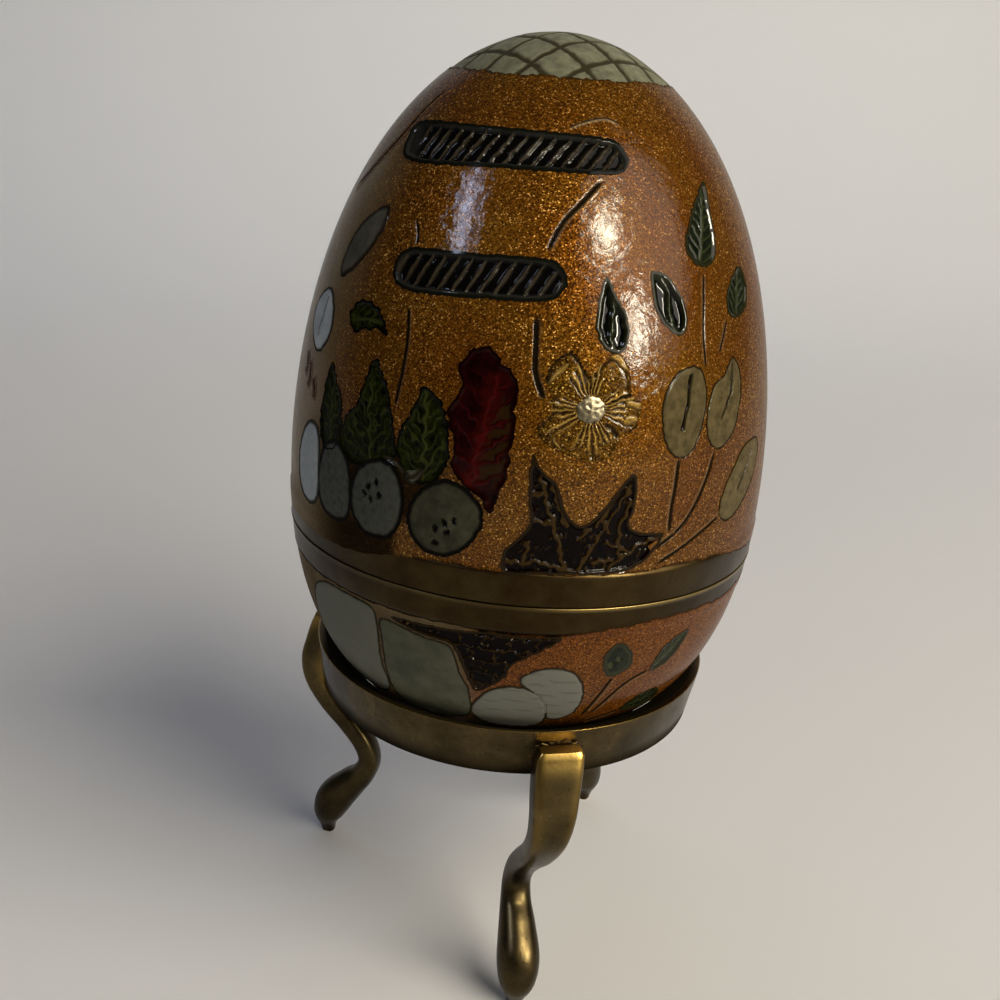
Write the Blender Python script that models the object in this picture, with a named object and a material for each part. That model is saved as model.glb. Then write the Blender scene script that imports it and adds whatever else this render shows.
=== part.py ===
"""Egg-shaped trinket box of enamelled brass, resting in a ring on three cabriole legs.

Metres, +Z up, front towards -Y. The origin is on the floor, under the egg's axis.
The box is a thin brass shell in two halves. The lid sits over a collar that stands up
from the base. Motifs are shallow cells pressed into the shell, which hold the enamel.
"""

import math

import bmesh
import bpy
import numpy as np
from mathutils import Vector

MM = 0.001

# The egg's outline
EGG_RADIUS = 31.0
EGG_BOTTOM = 29.6
EGG_TOP = 119.8
TAPER = 0.138
SHOULDER = 0.155
SKEW = -0.081

# The shell, its seam and the collar inside it
WALL = 1.5
SEAM_HEIGHT = 58.8
SEAM_GAP = 0.3
LIP = 0.12
LIP_DROP = 0.7
COLLAR_RISE = 4.0
COLLAR_WALL = 1.2
COLLAR_ROOT = 5.0
COLLAR_PLAY = 0.3

# The ring of the stand, wider at its top
RING_TOP = 40.7
RING_BOTTOM = 33.9
RING_TOP_RADIUS = 26.8
RING_BOTTOM_RADIUS = 25.6
RING_WALL = 1.2
RING_EDGE = 0.25
SEAT_DEPTH = 1.1
SEAT_GAP = 0.4
SEAT_FLARE = 0.45

# The three legs: azimuth from the front, and how far the foot was bent sideways
LEGS = {
    "stand_leg_front": (15.5, -2.3),
    "stand_leg_left": (-104.5, 0.0),
    "stand_leg_back": (146.0, 0.0),
}

# A leg from the ring to the floor: distance out, height, half thickness, half width, squareness
LEG_STATIONS = (
    (27.80, 38.8, 1.00, 2.90, 6.0),
    (28.00, 36.4, 1.65, 3.00, 6.0),
    (28.70, 33.6, 1.80, 2.95, 5.0),
    (29.50, 30.4, 1.75, 2.75, 4.5),
    (29.00, 27.0, 1.70, 2.45, 4.0),
    (26.75, 23.4, 1.65, 2.10, 3.6),
    (23.80, 20.3, 1.60, 1.90, 3.2),
    (21.30, 17.3, 1.60, 1.85, 2.8),
    (20.30, 14.4, 1.60, 1.85, 2.6),
    (21.30, 11.6, 1.85, 2.05, 2.4),
    (23.30, 9.3, 2.40, 2.45, 2.2),
    (25.70, 6.2, 2.85, 2.80, 2.2),
    (26.70, 3.4, 2.40, 2.40, 2.2),
    (26.80, 1.2, 1.25, 1.30, 2.4),
    (26.70, 0.0, 0.95, 1.00, 2.6),
)
LEG_SIDES = 10

TURN_STEPS = 48
AXIS_SNAP = 0.01
LID_RINGS = 12
BASE_RINGS = 9
LID_INNER_RINGS = 8
BASE_INNER_RINGS = 6

# Cells are cut this deep into the shell, and each cutter stands clear above it
CELL_DEPTH = 0.4
RIDGE_DEPTH = 0.15
CUTTER_CLEAR = 0.8

ENAMEL_COLOUR = (0.22, 0.085, 0.012, 1.0)
BRASS_COLOUR = (0.21, 0.15, 0.05, 1.0)


def egg_shape(u):
    """Radius of the unscaled egg at u, which runs from -1 at the bottom to 1 at the top."""
    belly = np.sqrt(np.maximum(1 - u ** 2, 0))
    return belly * (1 - TAPER * u + SHOULDER * u ** 2 + SKEW * u ** 3)


# A fine table of the outline: height, radius and distance along the surface from the widest level
SAMPLES = 4001
LEVELS = np.sin(np.linspace(-math.pi / 2, math.pi / 2, SAMPLES))
HEIGHTS = (EGG_TOP + EGG_BOTTOM) / 2 + LEVELS * (EGG_TOP - EGG_BOTTOM) / 2
RADII = egg_shape(LEVELS) * EGG_RADIUS / egg_shape(LEVELS).max()
ARCS = np.concatenate([[0], np.cumsum(np.hypot(np.diff(HEIGHTS), np.diff(RADII)))])
ARCS = ARCS - ARCS[RADII.argmax()]
NORMAL_OUT = np.gradient(HEIGHTS, ARCS)
NORMAL_UP = -np.gradient(RADII, ARCS)


def outline(arc, lift=0.0):
    """Radius and height of the outline at a distance along it, moved out by lift."""
    out = np.interp(arc, ARCS, RADII) + lift * np.interp(arc, ARCS, NORMAL_OUT)
    up = np.interp(arc, ARCS, HEIGHTS) + lift * np.interp(arc, ARCS, NORMAL_UP)
    return out, up


def arc_at_height(height):
    """Distance along the outline at which it has this height."""
    return float(np.interp(height, HEIGHTS, ARCS))


def on_egg(azimuth, arc, lift):
    """Point on the shell, in metres, at an azimuth in degrees from the front."""
    out, up = outline(arc, lift)
    turn = math.radians(azimuth)
    return Vector((out * math.sin(turn), -out * math.cos(turn), up)) * MM


def beside(azimuth, arc, turn):
    """Lay a flat drawing on the shell: returns a map from its millimetres to the surface."""
    lean = math.radians(turn)

    def surface(across, along, lift):
        right = across * math.cos(lean) + along * math.sin(lean)
        rise = along * math.cos(lean) - across * math.sin(lean)
        radius = float(np.interp(arc + rise, ARCS, RADII))
        return on_egg(azimuth + math.degrees(right / radius), arc + rise, lift)

    return surface


def over_cap(x, y, lift):
    """Lay a plan drawing on the top of the egg, as seen from above."""
    upper = ARCS > 0
    radius = math.hypot(x, y)
    arc = float(np.interp(radius, RADII[upper][::-1], ARCS[upper][::-1]))
    return on_egg(math.degrees(math.atan2(x, -y)), arc, lift)


def material(name, colour, metallic, roughness):
    """A plain metal or enamel finish."""
    finish = bpy.data.materials.new(name)
    finish.use_nodes = True
    shader = finish.node_tree.nodes["Principled BSDF"]
    shader.inputs["Base Color"].default_value = colour
    shader.inputs["Metallic"].default_value = metallic
    shader.inputs["Roughness"].default_value = roughness
    return finish


def new_object(name, bm, finish=None, smooth_angle=35):
    """Store a bmesh as an object, shaded smooth but for its sharp edges."""
    mesh = bpy.data.meshes.new(name)
    bm.to_mesh(mesh)
    bm.free()
    mesh.shade_smooth()
    mesh.set_sharp_from_angle(angle=math.radians(smooth_angle))
    if finish:
        mesh.materials.append(finish)
    piece = bpy.data.objects.new(name, mesh)
    bpy.context.collection.objects.link(piece)
    return piece


def turned(name, profile, finish, closed=False):
    """Spin a profile of (radius, height) points about the vertical axis."""
    bm = bmesh.new()
    points = []
    for radius, height in profile:
        on_axis = radius < AXIS_SNAP
        points.append(bm.verts.new(Vector((0, 0 if on_axis else -radius, height)) * MM))
    pairs = list(zip(points, points[1:]))
    if closed:
        pairs.append((points[-1], points[0]))
    edges = [bm.edges.new(pair) for pair in pairs]
    bmesh.ops.spin(bm, geom=points + edges, axis=(0, 0, 1), cent=(0, 0, 0), angle=math.tau,
                   steps=TURN_STEPS, use_merge=True)
    bmesh.ops.remove_doubles(bm, verts=bm.verts, dist=0.001 * MM)
    bmesh.ops.recalc_face_normals(bm, faces=bm.faces)
    return new_object(name, bm, finish)


def lid_profile():
    """From the top down the outside, round the edge and up the inside to the top."""
    low = arc_at_height(SEAM_HEIGHT + SEAM_GAP)
    above = np.linspace(ARCS[-1], 0, LID_RINGS)
    outside = [outline(arc) for arc in (*above, low / 2, low)]
    inside = [outline(arc, -WALL) for arc in np.linspace(low, ARCS[-1], LID_INNER_RINGS)]
    edge_radius, edge_height = outside[-1]
    inside[0] = (edge_radius - WALL, edge_height)
    return outside + inside


def base_profile():
    """From the bowl's floor up the inside, over the collar, and down the outside."""
    seam = arc_at_height(SEAM_HEIGHT)
    seam_radius, seam_height = outline(seam, LIP)
    collar_outside = outline(seam)[0] - WALL - COLLAR_PLAY
    collar_inside = collar_outside - COLLAR_WALL
    root = arc_at_height(SEAM_HEIGHT - COLLAR_ROOT)
    inside = [outline(arc, -WALL) for arc in np.linspace(ARCS[0], root, BASE_INNER_RINGS)]
    collar = [
        (collar_inside, seam_height - COLLAR_ROOT / 2),
        (collar_inside, seam_height + COLLAR_RISE),
        (collar_outside, seam_height + COLLAR_RISE),
        (collar_outside, seam_height),
    ]
    lip = [(seam_radius, seam_height)]
    outside = [outline(arc) for arc in np.linspace(seam - LIP_DROP, ARCS[0], BASE_RINGS)]
    return inside + collar + lip + outside


def ring_profile():
    """Round the ring's section, with a seat that flares away from the egg towards its top."""
    seat_low = RING_TOP - SEAT_DEPTH
    seat_top_radius = outline(arc_at_height(RING_TOP))[0] + SEAT_GAP + SEAT_FLARE
    seat_low_radius = outline(arc_at_height(seat_low))[0] + SEAT_GAP
    return [
        (RING_TOP_RADIUS - RING_EDGE, RING_TOP),
        (RING_TOP_RADIUS, RING_TOP - RING_EDGE),
        (RING_BOTTOM_RADIUS, RING_BOTTOM + RING_EDGE),
        (RING_BOTTOM_RADIUS - RING_EDGE, RING_BOTTOM),
        (RING_BOTTOM_RADIUS - RING_WALL, RING_BOTTOM),
        (seat_low_radius, seat_low),
        (seat_top_radius, RING_TOP),
    ]


def leg(name, lean, finish):
    """Loft rounded sections along the S of a cabriole leg that reaches towards -Y."""
    out, height, thick, wide, square = np.array(LEG_STATIONS).T
    tangent = np.stack([np.gradient(out), np.gradient(height)])
    tangent = tangent / np.hypot(*tangent)
    tangent[:, 0] = (0, -1)
    tangent[:, -1] = (0, -1)
    around = np.linspace(0, math.tau, LEG_SIDES, endpoint=False) + math.pi / LEG_SIDES
    power = 2 / square[:, None]
    side = wide[:, None] * np.sign(np.cos(around)) * np.abs(np.cos(around)) ** power
    depth = thick[:, None] * np.sign(np.sin(around)) * np.abs(np.sin(around)) ** power
    bend = lean * (1 - height / height.max()) ** 0.75
    x = side + bend[:, None]
    y = -(out[:, None] - depth * tangent[1][:, None])
    z = height[:, None] + depth * tangent[0][:, None]
    bm = bmesh.new()
    rows = [
        [bm.verts.new(Vector(point) * MM) for point in zip(*section)]
        for section in zip(x, y, z)
    ]
    for upper, lower in zip(rows, rows[1:]):
        for i in range(LEG_SIDES):
            j = (i + 1) % LEG_SIDES
            bm.faces.new((upper[i], upper[j], lower[j], lower[i]))
    bm.faces.new(rows[0])
    bm.faces.new(rows[-1])
    bmesh.ops.recalc_face_normals(bm, faces=bm.faces)
    return new_object(name, bm, finish, smooth_angle=50)


def add_cell(bm, surface, rows):
    """Add one closed cutter: a floor of (across, along, depth) points, walls and a cover."""
    floor = [[bm.verts.new(surface(a, b, -depth)) for a, b, depth in row] for row in rows]
    cover = [[bm.verts.new(surface(a, b, CUTTER_CLEAR)) for a, b, depth in row] for row in rows]
    for grid in (floor, cover):
        for row, after in zip(grid, grid[1:]):
            for i in range(len(row) - 1):
                bm.faces.new((row[i], row[i + 1], after[i + 1], after[i]))
    rims = []
    for grid in (floor, cover):
        right = [row[-1] for row in grid[1:-1]]
        left = [row[0] for row in grid[-2:0:-1]]
        rims.append(grid[0] + right + grid[-1][::-1] + left)
    low, high = rims
    for i in range(len(low)):
        j = (i + 1) % len(low)
        bm.faces.new((low[i], low[j], high[j], high[i]))


def spindle(length, width, rows=5, fullness=1.0, middle=RIDGE_DEPTH, side=CELL_DEPTH):
    """A leaf, pod or fruit: two curved sides that meet at both ends, with a line of its own
    depth down the middle. Fullness under 1 moves the widest place towards the foot."""
    steps = np.linspace(0, 1, rows)
    along = -np.cos(math.pi * steps) * length / 2
    half = np.sin(math.pi * steps ** fullness) * width / 2
    line = np.full(rows, middle)
    line[[0, -1]] = side
    return [((-w, a, side), (0, a, m), (w, a, side)) for w, a, m in zip(half, along, line)]


def lobed_leaf(length, width, lobes):
    """A leaf whose edge swells and narrows once for each pair of lobes."""
    rows = []
    for i in range(2 * lobes + 1):
        t = i / (2 * lobes)
        swell = 1.0 if i % 2 else 0.72
        half = width / 2 * swell * math.sin(math.pi * (0.08 + 0.84 * t) ** 1.2)
        along = (t - 0.5) * length
        rows.append(((-half, along, CELL_DEPTH), (0, along, RIDGE_DEPTH), (half, along, CELL_DEPTH)))
    return rows


def slanted_slot(width, height, lean):
    """One slot between two ribs of a bar, leaning to the right as it rises."""
    rows = []
    for along in (-height / 2, height / 2):
        shift = along * lean
        rows.append(((shift - width / 2, along, CELL_DEPTH), (shift + width / 2, along, CELL_DEPTH)))
    return rows


def add_bar(bm, azimuth, arc, length, height, slots):
    """A long bar of slanted slots, with shorter slots at its rounded ends."""
    pitch = length / slots
    for i in range(slots):
        offset = (i - (slots - 1) / 2) * pitch
        at_end = i in (0, slots - 1)
        radius = float(np.interp(arc, ARCS, RADII))
        place = beside(azimuth + math.degrees(offset / radius), arc, 0)
        slot_height = height * (0.6 if at_end else 1)
        add_cell(bm, place, slanted_slot(pitch * 0.55, slot_height, 0.3))


def add_flower(bm, azimuth, arc, reach, centre, petals):
    """Petals round a centre that stays at the level of the shell."""
    length = reach - centre
    width = 2 * math.pi * (centre + length / 2) / petals * 0.78
    shapes = ((0.42, 0), (0.9, 0.45), (1.0, 0.75), (0.45, 1))
    for i in range(petals):
        rows = []
        for breadth, t in shapes:
            half = width / 2 * breadth
            along = centre + t * length
            rows.append(((-half, along, CELL_DEPTH), (0, along, RIDGE_DEPTH), (half, along, CELL_DEPTH)))
        add_cell(bm, beside(azimuth, arc, 360 / petals * i), rows)


def add_lattice(bm, radius, pitch, bar, turn, offset):
    """Square cells between the crossing bars of the cap, kept inside its edge."""
    half = (pitch - bar) / 2
    count = int(radius / pitch) + 1
    cosine = math.cos(math.radians(turn))
    sine = math.sin(math.radians(turn))

    def plan(across, along, lift):
        return over_cap(across * cosine - along * sine, across * sine + along * cosine, lift)

    for i in range(-count, count + 1):
        for j in range(-count, count + 1):
            a, b = i * pitch + offset, j * pitch + offset
            if math.hypot(abs(a) + half, abs(b) + half) > radius:
                continue
            rows = [
                [(a + s * half, b + t * half, CELL_DEPTH) for s in (-1, 1)] for t in (-1, 1)
            ]
            add_cell(bm, plan, rows)


def lid_cells():
    """Every cell of the lid: the cap, two ribbed bars, a basket of fruit, flowers and pods."""
    bm = bmesh.new()
    add_lattice(bm, radius=13.2, pitch=4.35, bar=0.7, turn=43, offset=0.7)
    add_bar(bm, azimuth=-18, arc=42.6, length=28.5, height=4.0, slots=18)
    add_bar(bm, azimuth=-16, arc=28.4, length=20.5, height=3.4, slots=13)
    for azimuth, arc in ((12, 15.8), (168, 17.0)):
        add_flower(bm, azimuth, arc, reach=5.7, centre=1.7, petals=5)
    leaf = spindle(8.6, 4.4, fullness=0.8)
    small_leaf = spindle(6.6, 4.0, fullness=0.8)
    for azimuth, arc, turn, rows in (
        (45.5, 35.6, 8, leaf),
        (31.0, 27.0, -22, small_leaf),
        (57.0, 27.6, 20, small_leaf),
        (16.5, 25.6, -4, small_leaf),
        (-42.5, 22.0, 78, small_leaf),
        (-34.0, 12.4, -6, spindle(9.6, 6.0, fullness=0.7)),
        (-22.2, 11.2, 4, spindle(8.4, 5.0, fullness=0.7)),
        (-44.8, 12.0, 0, spindle(7.4, 4.2, fullness=0.7)),
        (-62.5, 20.5, -8, spindle(8.0, 4.6, middle=CELL_DEPTH)),
        (197.0, 14.0, 10, leaf),
        (186.0, 12.5, -10, leaf),
        (141.0, 29.0, 0, leaf),
        (219.0, 27.0, 0, leaf),
    ):
        add_cell(bm, beside(azimuth, arc, turn), rows)
    add_cell(bm, beside(-9.6, 13.4, 3), lobed_leaf(15.0, 7.8, lobes=4))
    fruit = spindle(9.0, 8.0, rows=7)
    for azimuth, arc in ((-31.6, 2.4), (-15.4, 1.9), (-47.0, 2.8), (188.0, 2.6), (206.0, 2.6)):
        add_cell(bm, beside(azimuth, arc, 0), fruit)
    pod = spindle(9.6, 5.2, middle=CELL_DEPTH + RIDGE_DEPTH, side=RIDGE_DEPTH * 1.5)
    for azimuth, arc, turn in ((34.8, 15.2, 4), (46.6, 15.8, 10), (56.5, 6.2, 28),
                               (148.0, 13.0, -6), (137.0, 12.0, -14)):
        add_cell(bm, beside(azimuth, arc, turn), pod)
    for azimuth, arc, turn, length, width in (
        (2.2, 3.7, -10, 12.0, 3.4),
        (11.2, -0.4, 0, 4.8, 2.6),
        (19.8, 2.9, 22, 12.2, 3.2),
        (28.6, -0.8, 48, 6.2, 2.6),
    ):
        add_cell(bm, beside(azimuth, arc, turn), spindle(length, width, fullness=0.8))
    return bm


def base_cells():
    """The cells of the base: melons, a pair of shells, a seed head and slender leaves."""
    bm = bmesh.new()
    for side in (0, 180):
        for azimuth, arc, length, width in (
            (-41.5, -16.5, 12.0, 9.6),
            (-20.0, -19.4, 12.0, 9.8),
            (1.0, -23.2, 8.4, 7.4),
            (19.5, -20.2, 7.0, 6.0),
            (29.0, -14.4, 4.6, 4.2),
        ):
            rows = spindle(length, width, rows=7)
            add_cell(bm, beside(azimuth + side, arc, 0), rows)
        for azimuth, arc, turn in ((41.0, -13.2, 38), (37.5, -19.8, 62)):
            add_cell(bm, beside(azimuth + side, arc, turn), spindle(7.6, 2.2))
    return bm


def cut_cells(shell, bm):
    """Take the cells out of the shell with one Boolean."""
    bmesh.ops.remove_doubles(bm, verts=bm.verts, dist=0.001 * MM)
    bmesh.ops.recalc_face_normals(bm, faces=bm.faces)
    cutter = new_object(shell.name + "_cells", bm)
    cutter.hide_render = True
    cutter.display_type = "WIRE"
    boolean = shell.modifiers.new("cells", "BOOLEAN")
    boolean.operation = "DIFFERENCE"
    boolean.solver = "EXACT"
    boolean.object = cutter


def clear_scene():
    """Remove whatever objects the file opened with."""
    for old in list(bpy.data.objects):
        bpy.data.objects.remove(old)


def build():
    """Make the box and its stand."""
    clear_scene()
    enamel = material("enamelled_brass", ENAMEL_COLOUR, metallic=0.2, roughness=0.3)
    brass = material("aged_brass", BRASS_COLOUR, metallic=1.0, roughness=0.35)

    stand = bpy.data.objects.new("stand", None)
    bpy.context.collection.objects.link(stand)

    cut_cells(turned("egg_lid", lid_profile(), enamel), lid_cells())
    cut_cells(turned("egg_base", base_profile(), enamel), base_cells())
    turned("stand_ring", ring_profile(), brass, closed=True).parent = stand
    for name, (azimuth, lean) in LEGS.items():
        piece = leg(name, lean, brass)
        piece.rotation_euler.z = math.radians(azimuth)
        piece.parent = stand


build()
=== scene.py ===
# %% [markdown]
# # An enamelled egg box on its stand
#
# The real object is a brass egg, about 62 mm wide and 90 mm tall, that opens in two halves and rests
# in a ring on three cabriole legs. Its decoration was pressed into the brass as shallow cells, and
# the cells were filled with lacquer: a ground full of copper flakes, and flowers, fruit and leaves in
# duller colours. The egg could be sculpted by hand, but every line on it follows one outline, so each
# piece here is worked out from that outline with numpy and put into a mesh as a whole array.

# %% Load the imported model
import math

import bpy
import numpy as np
from mathutils import Matrix, Quaternion, Vector


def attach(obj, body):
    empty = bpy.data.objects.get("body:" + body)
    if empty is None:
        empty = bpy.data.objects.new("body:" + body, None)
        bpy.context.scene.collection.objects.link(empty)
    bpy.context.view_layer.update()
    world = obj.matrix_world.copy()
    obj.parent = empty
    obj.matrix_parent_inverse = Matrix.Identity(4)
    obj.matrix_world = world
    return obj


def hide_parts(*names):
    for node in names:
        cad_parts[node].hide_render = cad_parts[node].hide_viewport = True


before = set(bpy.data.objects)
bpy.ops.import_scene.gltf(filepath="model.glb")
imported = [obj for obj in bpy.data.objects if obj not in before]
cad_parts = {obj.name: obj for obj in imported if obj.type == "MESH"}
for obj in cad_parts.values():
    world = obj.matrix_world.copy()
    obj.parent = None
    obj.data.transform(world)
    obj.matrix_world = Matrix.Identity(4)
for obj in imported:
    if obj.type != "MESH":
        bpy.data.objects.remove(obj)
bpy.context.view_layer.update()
MM = 0.001

# %% [markdown]
# ## The egg's outline
#
# The outline is a half circle, stretched to the egg's height, whose radius is made a little larger
# low down. It is kept as a fine table against the distance along the surface. That distance, called
# the arc, is 0 at the widest level, above it upwards and below it downwards. A place on the egg is an
# azimuth in degrees from the front and an arc in millimetres, as on a globe.

# %% The outline as a table
EGG_RADIUS, EGG_BOTTOM, EGG_TOP = 31.0, 29.6, 119.8
TAPER, SHOULDER, SKEW = 0.138, 0.155, -0.081


def egg_shape(u):
    """Half circle times a cubic: sqrt(1 - u^2) * (1 - TAPER u + SHOULDER u^2 + SKEW u^3)."""
    return np.sqrt(np.maximum(1 - u**2, 0)) * (1 - TAPER * u + SHOULDER * u**2 + SKEW * u**3)


LEVELS = np.sin(np.linspace(-math.pi / 2, math.pi / 2, 4001))
HEIGHTS = (EGG_TOP + EGG_BOTTOM) / 2 + LEVELS * (EGG_TOP - EGG_BOTTOM) / 2
RADII = egg_shape(LEVELS) * EGG_RADIUS / egg_shape(LEVELS).max()
ARCS = np.concatenate([[0], np.cumsum(np.hypot(np.diff(HEIGHTS), np.diff(RADII)))])
ARCS = ARCS - ARCS[RADII.argmax()]
NORMAL_OUT = np.gradient(HEIGHTS, ARCS)
NORMAL_UP = -np.gradient(RADII, ARCS)
print(f"arc runs from {ARCS[0]:.1f} to {ARCS[-1]:.1f} mm")


# %% Places on the egg
def outline(arc, lift=0.0):
    """Radius and height: the table's place, moved out along its normal by lift."""
    out = np.interp(arc, ARCS, RADII) + lift * np.interp(arc, ARCS, NORMAL_OUT)
    up = np.interp(arc, ARCS, HEIGHTS) + lift * np.interp(arc, ARCS, NORMAL_UP)
    return out, up


def arc_at_height(height):
    """Distance along the outline at a height."""
    return float(np.interp(height, HEIGHTS, ARCS))


def turned(out, azimuth, up):
    """Points in metres: (out sin azimuth, -out cos azimuth, up)."""
    turn = np.radians(azimuth)
    spread = np.broadcast_arrays(out * np.sin(turn), -out * np.cos(turn), up)
    return np.stack(spread, axis=-1) * MM


def lay(azimuth, arc, lift):
    """Points on the egg: the outline's point, turned about the axis to its azimuth."""
    out, up = outline(arc, lift)
    return turned(out, azimuth, up)


print("front of the widest level:", lay(0.0, 0.0, 0.0))

# %% [markdown]
# ## One skin for every piece
#
# Every piece of this object can be seen as a grid of points whose columns run round: a turned shell,
# a leg's sections, or a pressed cell, from its middle out to its rim and back underneath. So one
# function makes the faces of them all. Its volume comes out negative if the grid runs the other way
# round, and then each face is reversed, so that all of them point outwards.


# %% Faces over a grid, and a mesh from several grids
SHARP = 45


def grid_quads(index):
    """Four corners a face: a place, the one to its right, the one across, and the one below."""
    corners = [index[:-1, :-1], index[:-1, 1:], index[1:, 1:], index[1:, :-1]]
    return np.stack(corners, axis=-1).reshape(-1, 4)


def skin(points, joined=False):
    """Quads over rows and columns. Columns close on themselves. Rows do too where joined, and
    otherwise the first and the last row each get one cap."""
    rows, columns = points.shape[:2]
    index = np.arange(rows * columns).reshape(rows, columns)
    ring = np.concatenate([index, index[:, :1]], axis=1)
    if joined:
        ring = np.concatenate([ring, ring[:1]])
    quads = grid_quads(ring)
    flat = points.reshape(-1, 3)
    a, b, c, d = (flat[quads[:, k]] - flat.mean(0) for k in range(4))
    volume = (np.cross(a, b) * c).sum() + (np.cross(a, c) * d).sum()
    faces = quads.tolist()
    if not joined:
        faces += [index[0, ::-1].tolist(), index[-1].tolist()]
    return [face[::-1] for face in faces] if volume < 0 else faces


def make_piece(name, grids, finish, replaces=()):
    """Join grids, each (points, joined, {attribute: values}), into one mesh that rides the root.
    Edges that bend by more than SHARP degrees are shaded sharp."""
    points, faces, marks, start = [], [], {}, 0
    for grid, joined, values in grids:
        faces += [[start + corner for corner in face] for face in skin(grid, joined)]
        points.append(grid.reshape(-1, 3))
        for key in values:
            marks.setdefault(key, []).append(values[key].ravel())
        start += points[-1].shape[0]
    mesh = bpy.data.meshes.new(name)
    mesh.from_pydata(np.concatenate(points), [], faces)
    for key, values in marks.items():
        mesh.attributes.new(key, "FLOAT", "POINT").data.foreach_set("value", np.concatenate(values))
    mesh.shade_smooth()
    mesh.set_sharp_from_angle(angle=math.radians(SHARP))
    mesh.materials.append(finish)
    piece = bpy.data.objects.new(name, mesh)
    bpy.context.collection.objects.link(piece)
    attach(piece, "root")
    if replaces:
        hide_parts(*replaces)
    print(f"{name}: {sum(len(face) - 2 for face in faces)} triangles")


# %% [markdown]
# ## Building a finish
#
# A finish is a small network of nodes. Colours are written as the sRGB hex values that a colour
# picker gives, and one function turns them to the linear values that the renderer works in. One more
# adds a node, with its settings and with what feeds it, so that each finish reads as a short list.


# %% Colours and nodes
def srgb(code):
    """Linear colour of a hex code: below 0.04045 divide by 12.92, else ((c + 0.055)/1.055)^2.4."""
    parts = np.array([int(code[i : i + 2], 16) / 255 for i in (1, 3, 5)])
    linear = np.where(parts < 0.04045, parts / 12.92, ((parts + 0.055) / 1.055) ** 2.4)
    return (*linear.tolist(), 1.0)


def add(tree, kind, feeds=None, stops=None, into=None, **settings):
    """Add a node. Feeds are sockets or constants for its inputs, stops the colours of a ramp, and
    into is the input that its first output goes to."""
    node = tree.nodes.new(f"ShaderNode{kind}")
    for key, value in settings.items():
        setattr(node, key, value)
    for key, source in (feeds or {}).items():
        if isinstance(source, bpy.types.NodeSocket):
            tree.links.new(source, node.inputs[key])
        else:
            node.inputs[key].default_value = source
    for i, (place, colour) in enumerate(sorted((stops or {}).items())):
        ramp = node.color_ramp.elements
        stop = ramp[i] if i < 2 else ramp.new(place)
        stop.position = place
        stop.color = srgb(colour)
    if into:
        tree.links.new(node.outputs[0], into)
    return node


def new_finish(name, **constants):
    """An empty finish: its tree, its shader with constants set, and the object's coordinates."""
    finish = bpy.data.materials.new(name)
    finish.use_nodes = True
    tree = finish.node_tree
    shader = tree.nodes["Principled BSDF"]
    for key, value in constants.items():
        shader.inputs[key.replace("_", " ")].default_value = value
    place = add(tree, "TexCoord").outputs["Object"]
    return finish, tree, shader, place


def overlay(tree, colour, **layers):
    """Mix a colour towards others in turn, each by the mesh's attribute that it is named for."""
    for name, other in layers.items():
        amount = add(tree, "Attribute", attribute_name=name).outputs["Fac"]
        feeds = {0: amount, 6: colour, 7: srgb(other)}
        colour = add(tree, "Mix", feeds, data_type="RGBA").outputs[2]
    return colour


def per_mm(size):
    """Texture scale that makes one cell or cloud this many millimetres wide."""
    return 1 / (size * MM)


print("orange of the ground:", srgb("#A0641E"))

# %% [markdown]
# ## The ground: goldstone lacquer
#
# The ground is a clear amber lacquer crowded with copper flakes, sprayed or flooded over the brass
# and polished flat. Each flake lies at its own angle, so some catch the light and most do not. A cell
# texture gives one random value for each flake: it picks the flake's colour and tips its normal. The
# clear coat above has a normal of its own, nearly smooth, so the lamps show as soft bright patches
# over the glitter. Real flakes are too fine to show in the render, so they are drawn as coarse as
# they need to show, 0.135 mm wide. Cut grooves are dull, with painted shade in their middle and a
# painted highlight in the film colour along one edge. Worn places have a grey film, and on the left
# side the film also stands in for painted fill light. The dark of the grooves also paints the shade
# low in the ring.

# %% Goldstone lacquer
FLAKE, FLAKE_TIP = 0.135, 0.45


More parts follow.
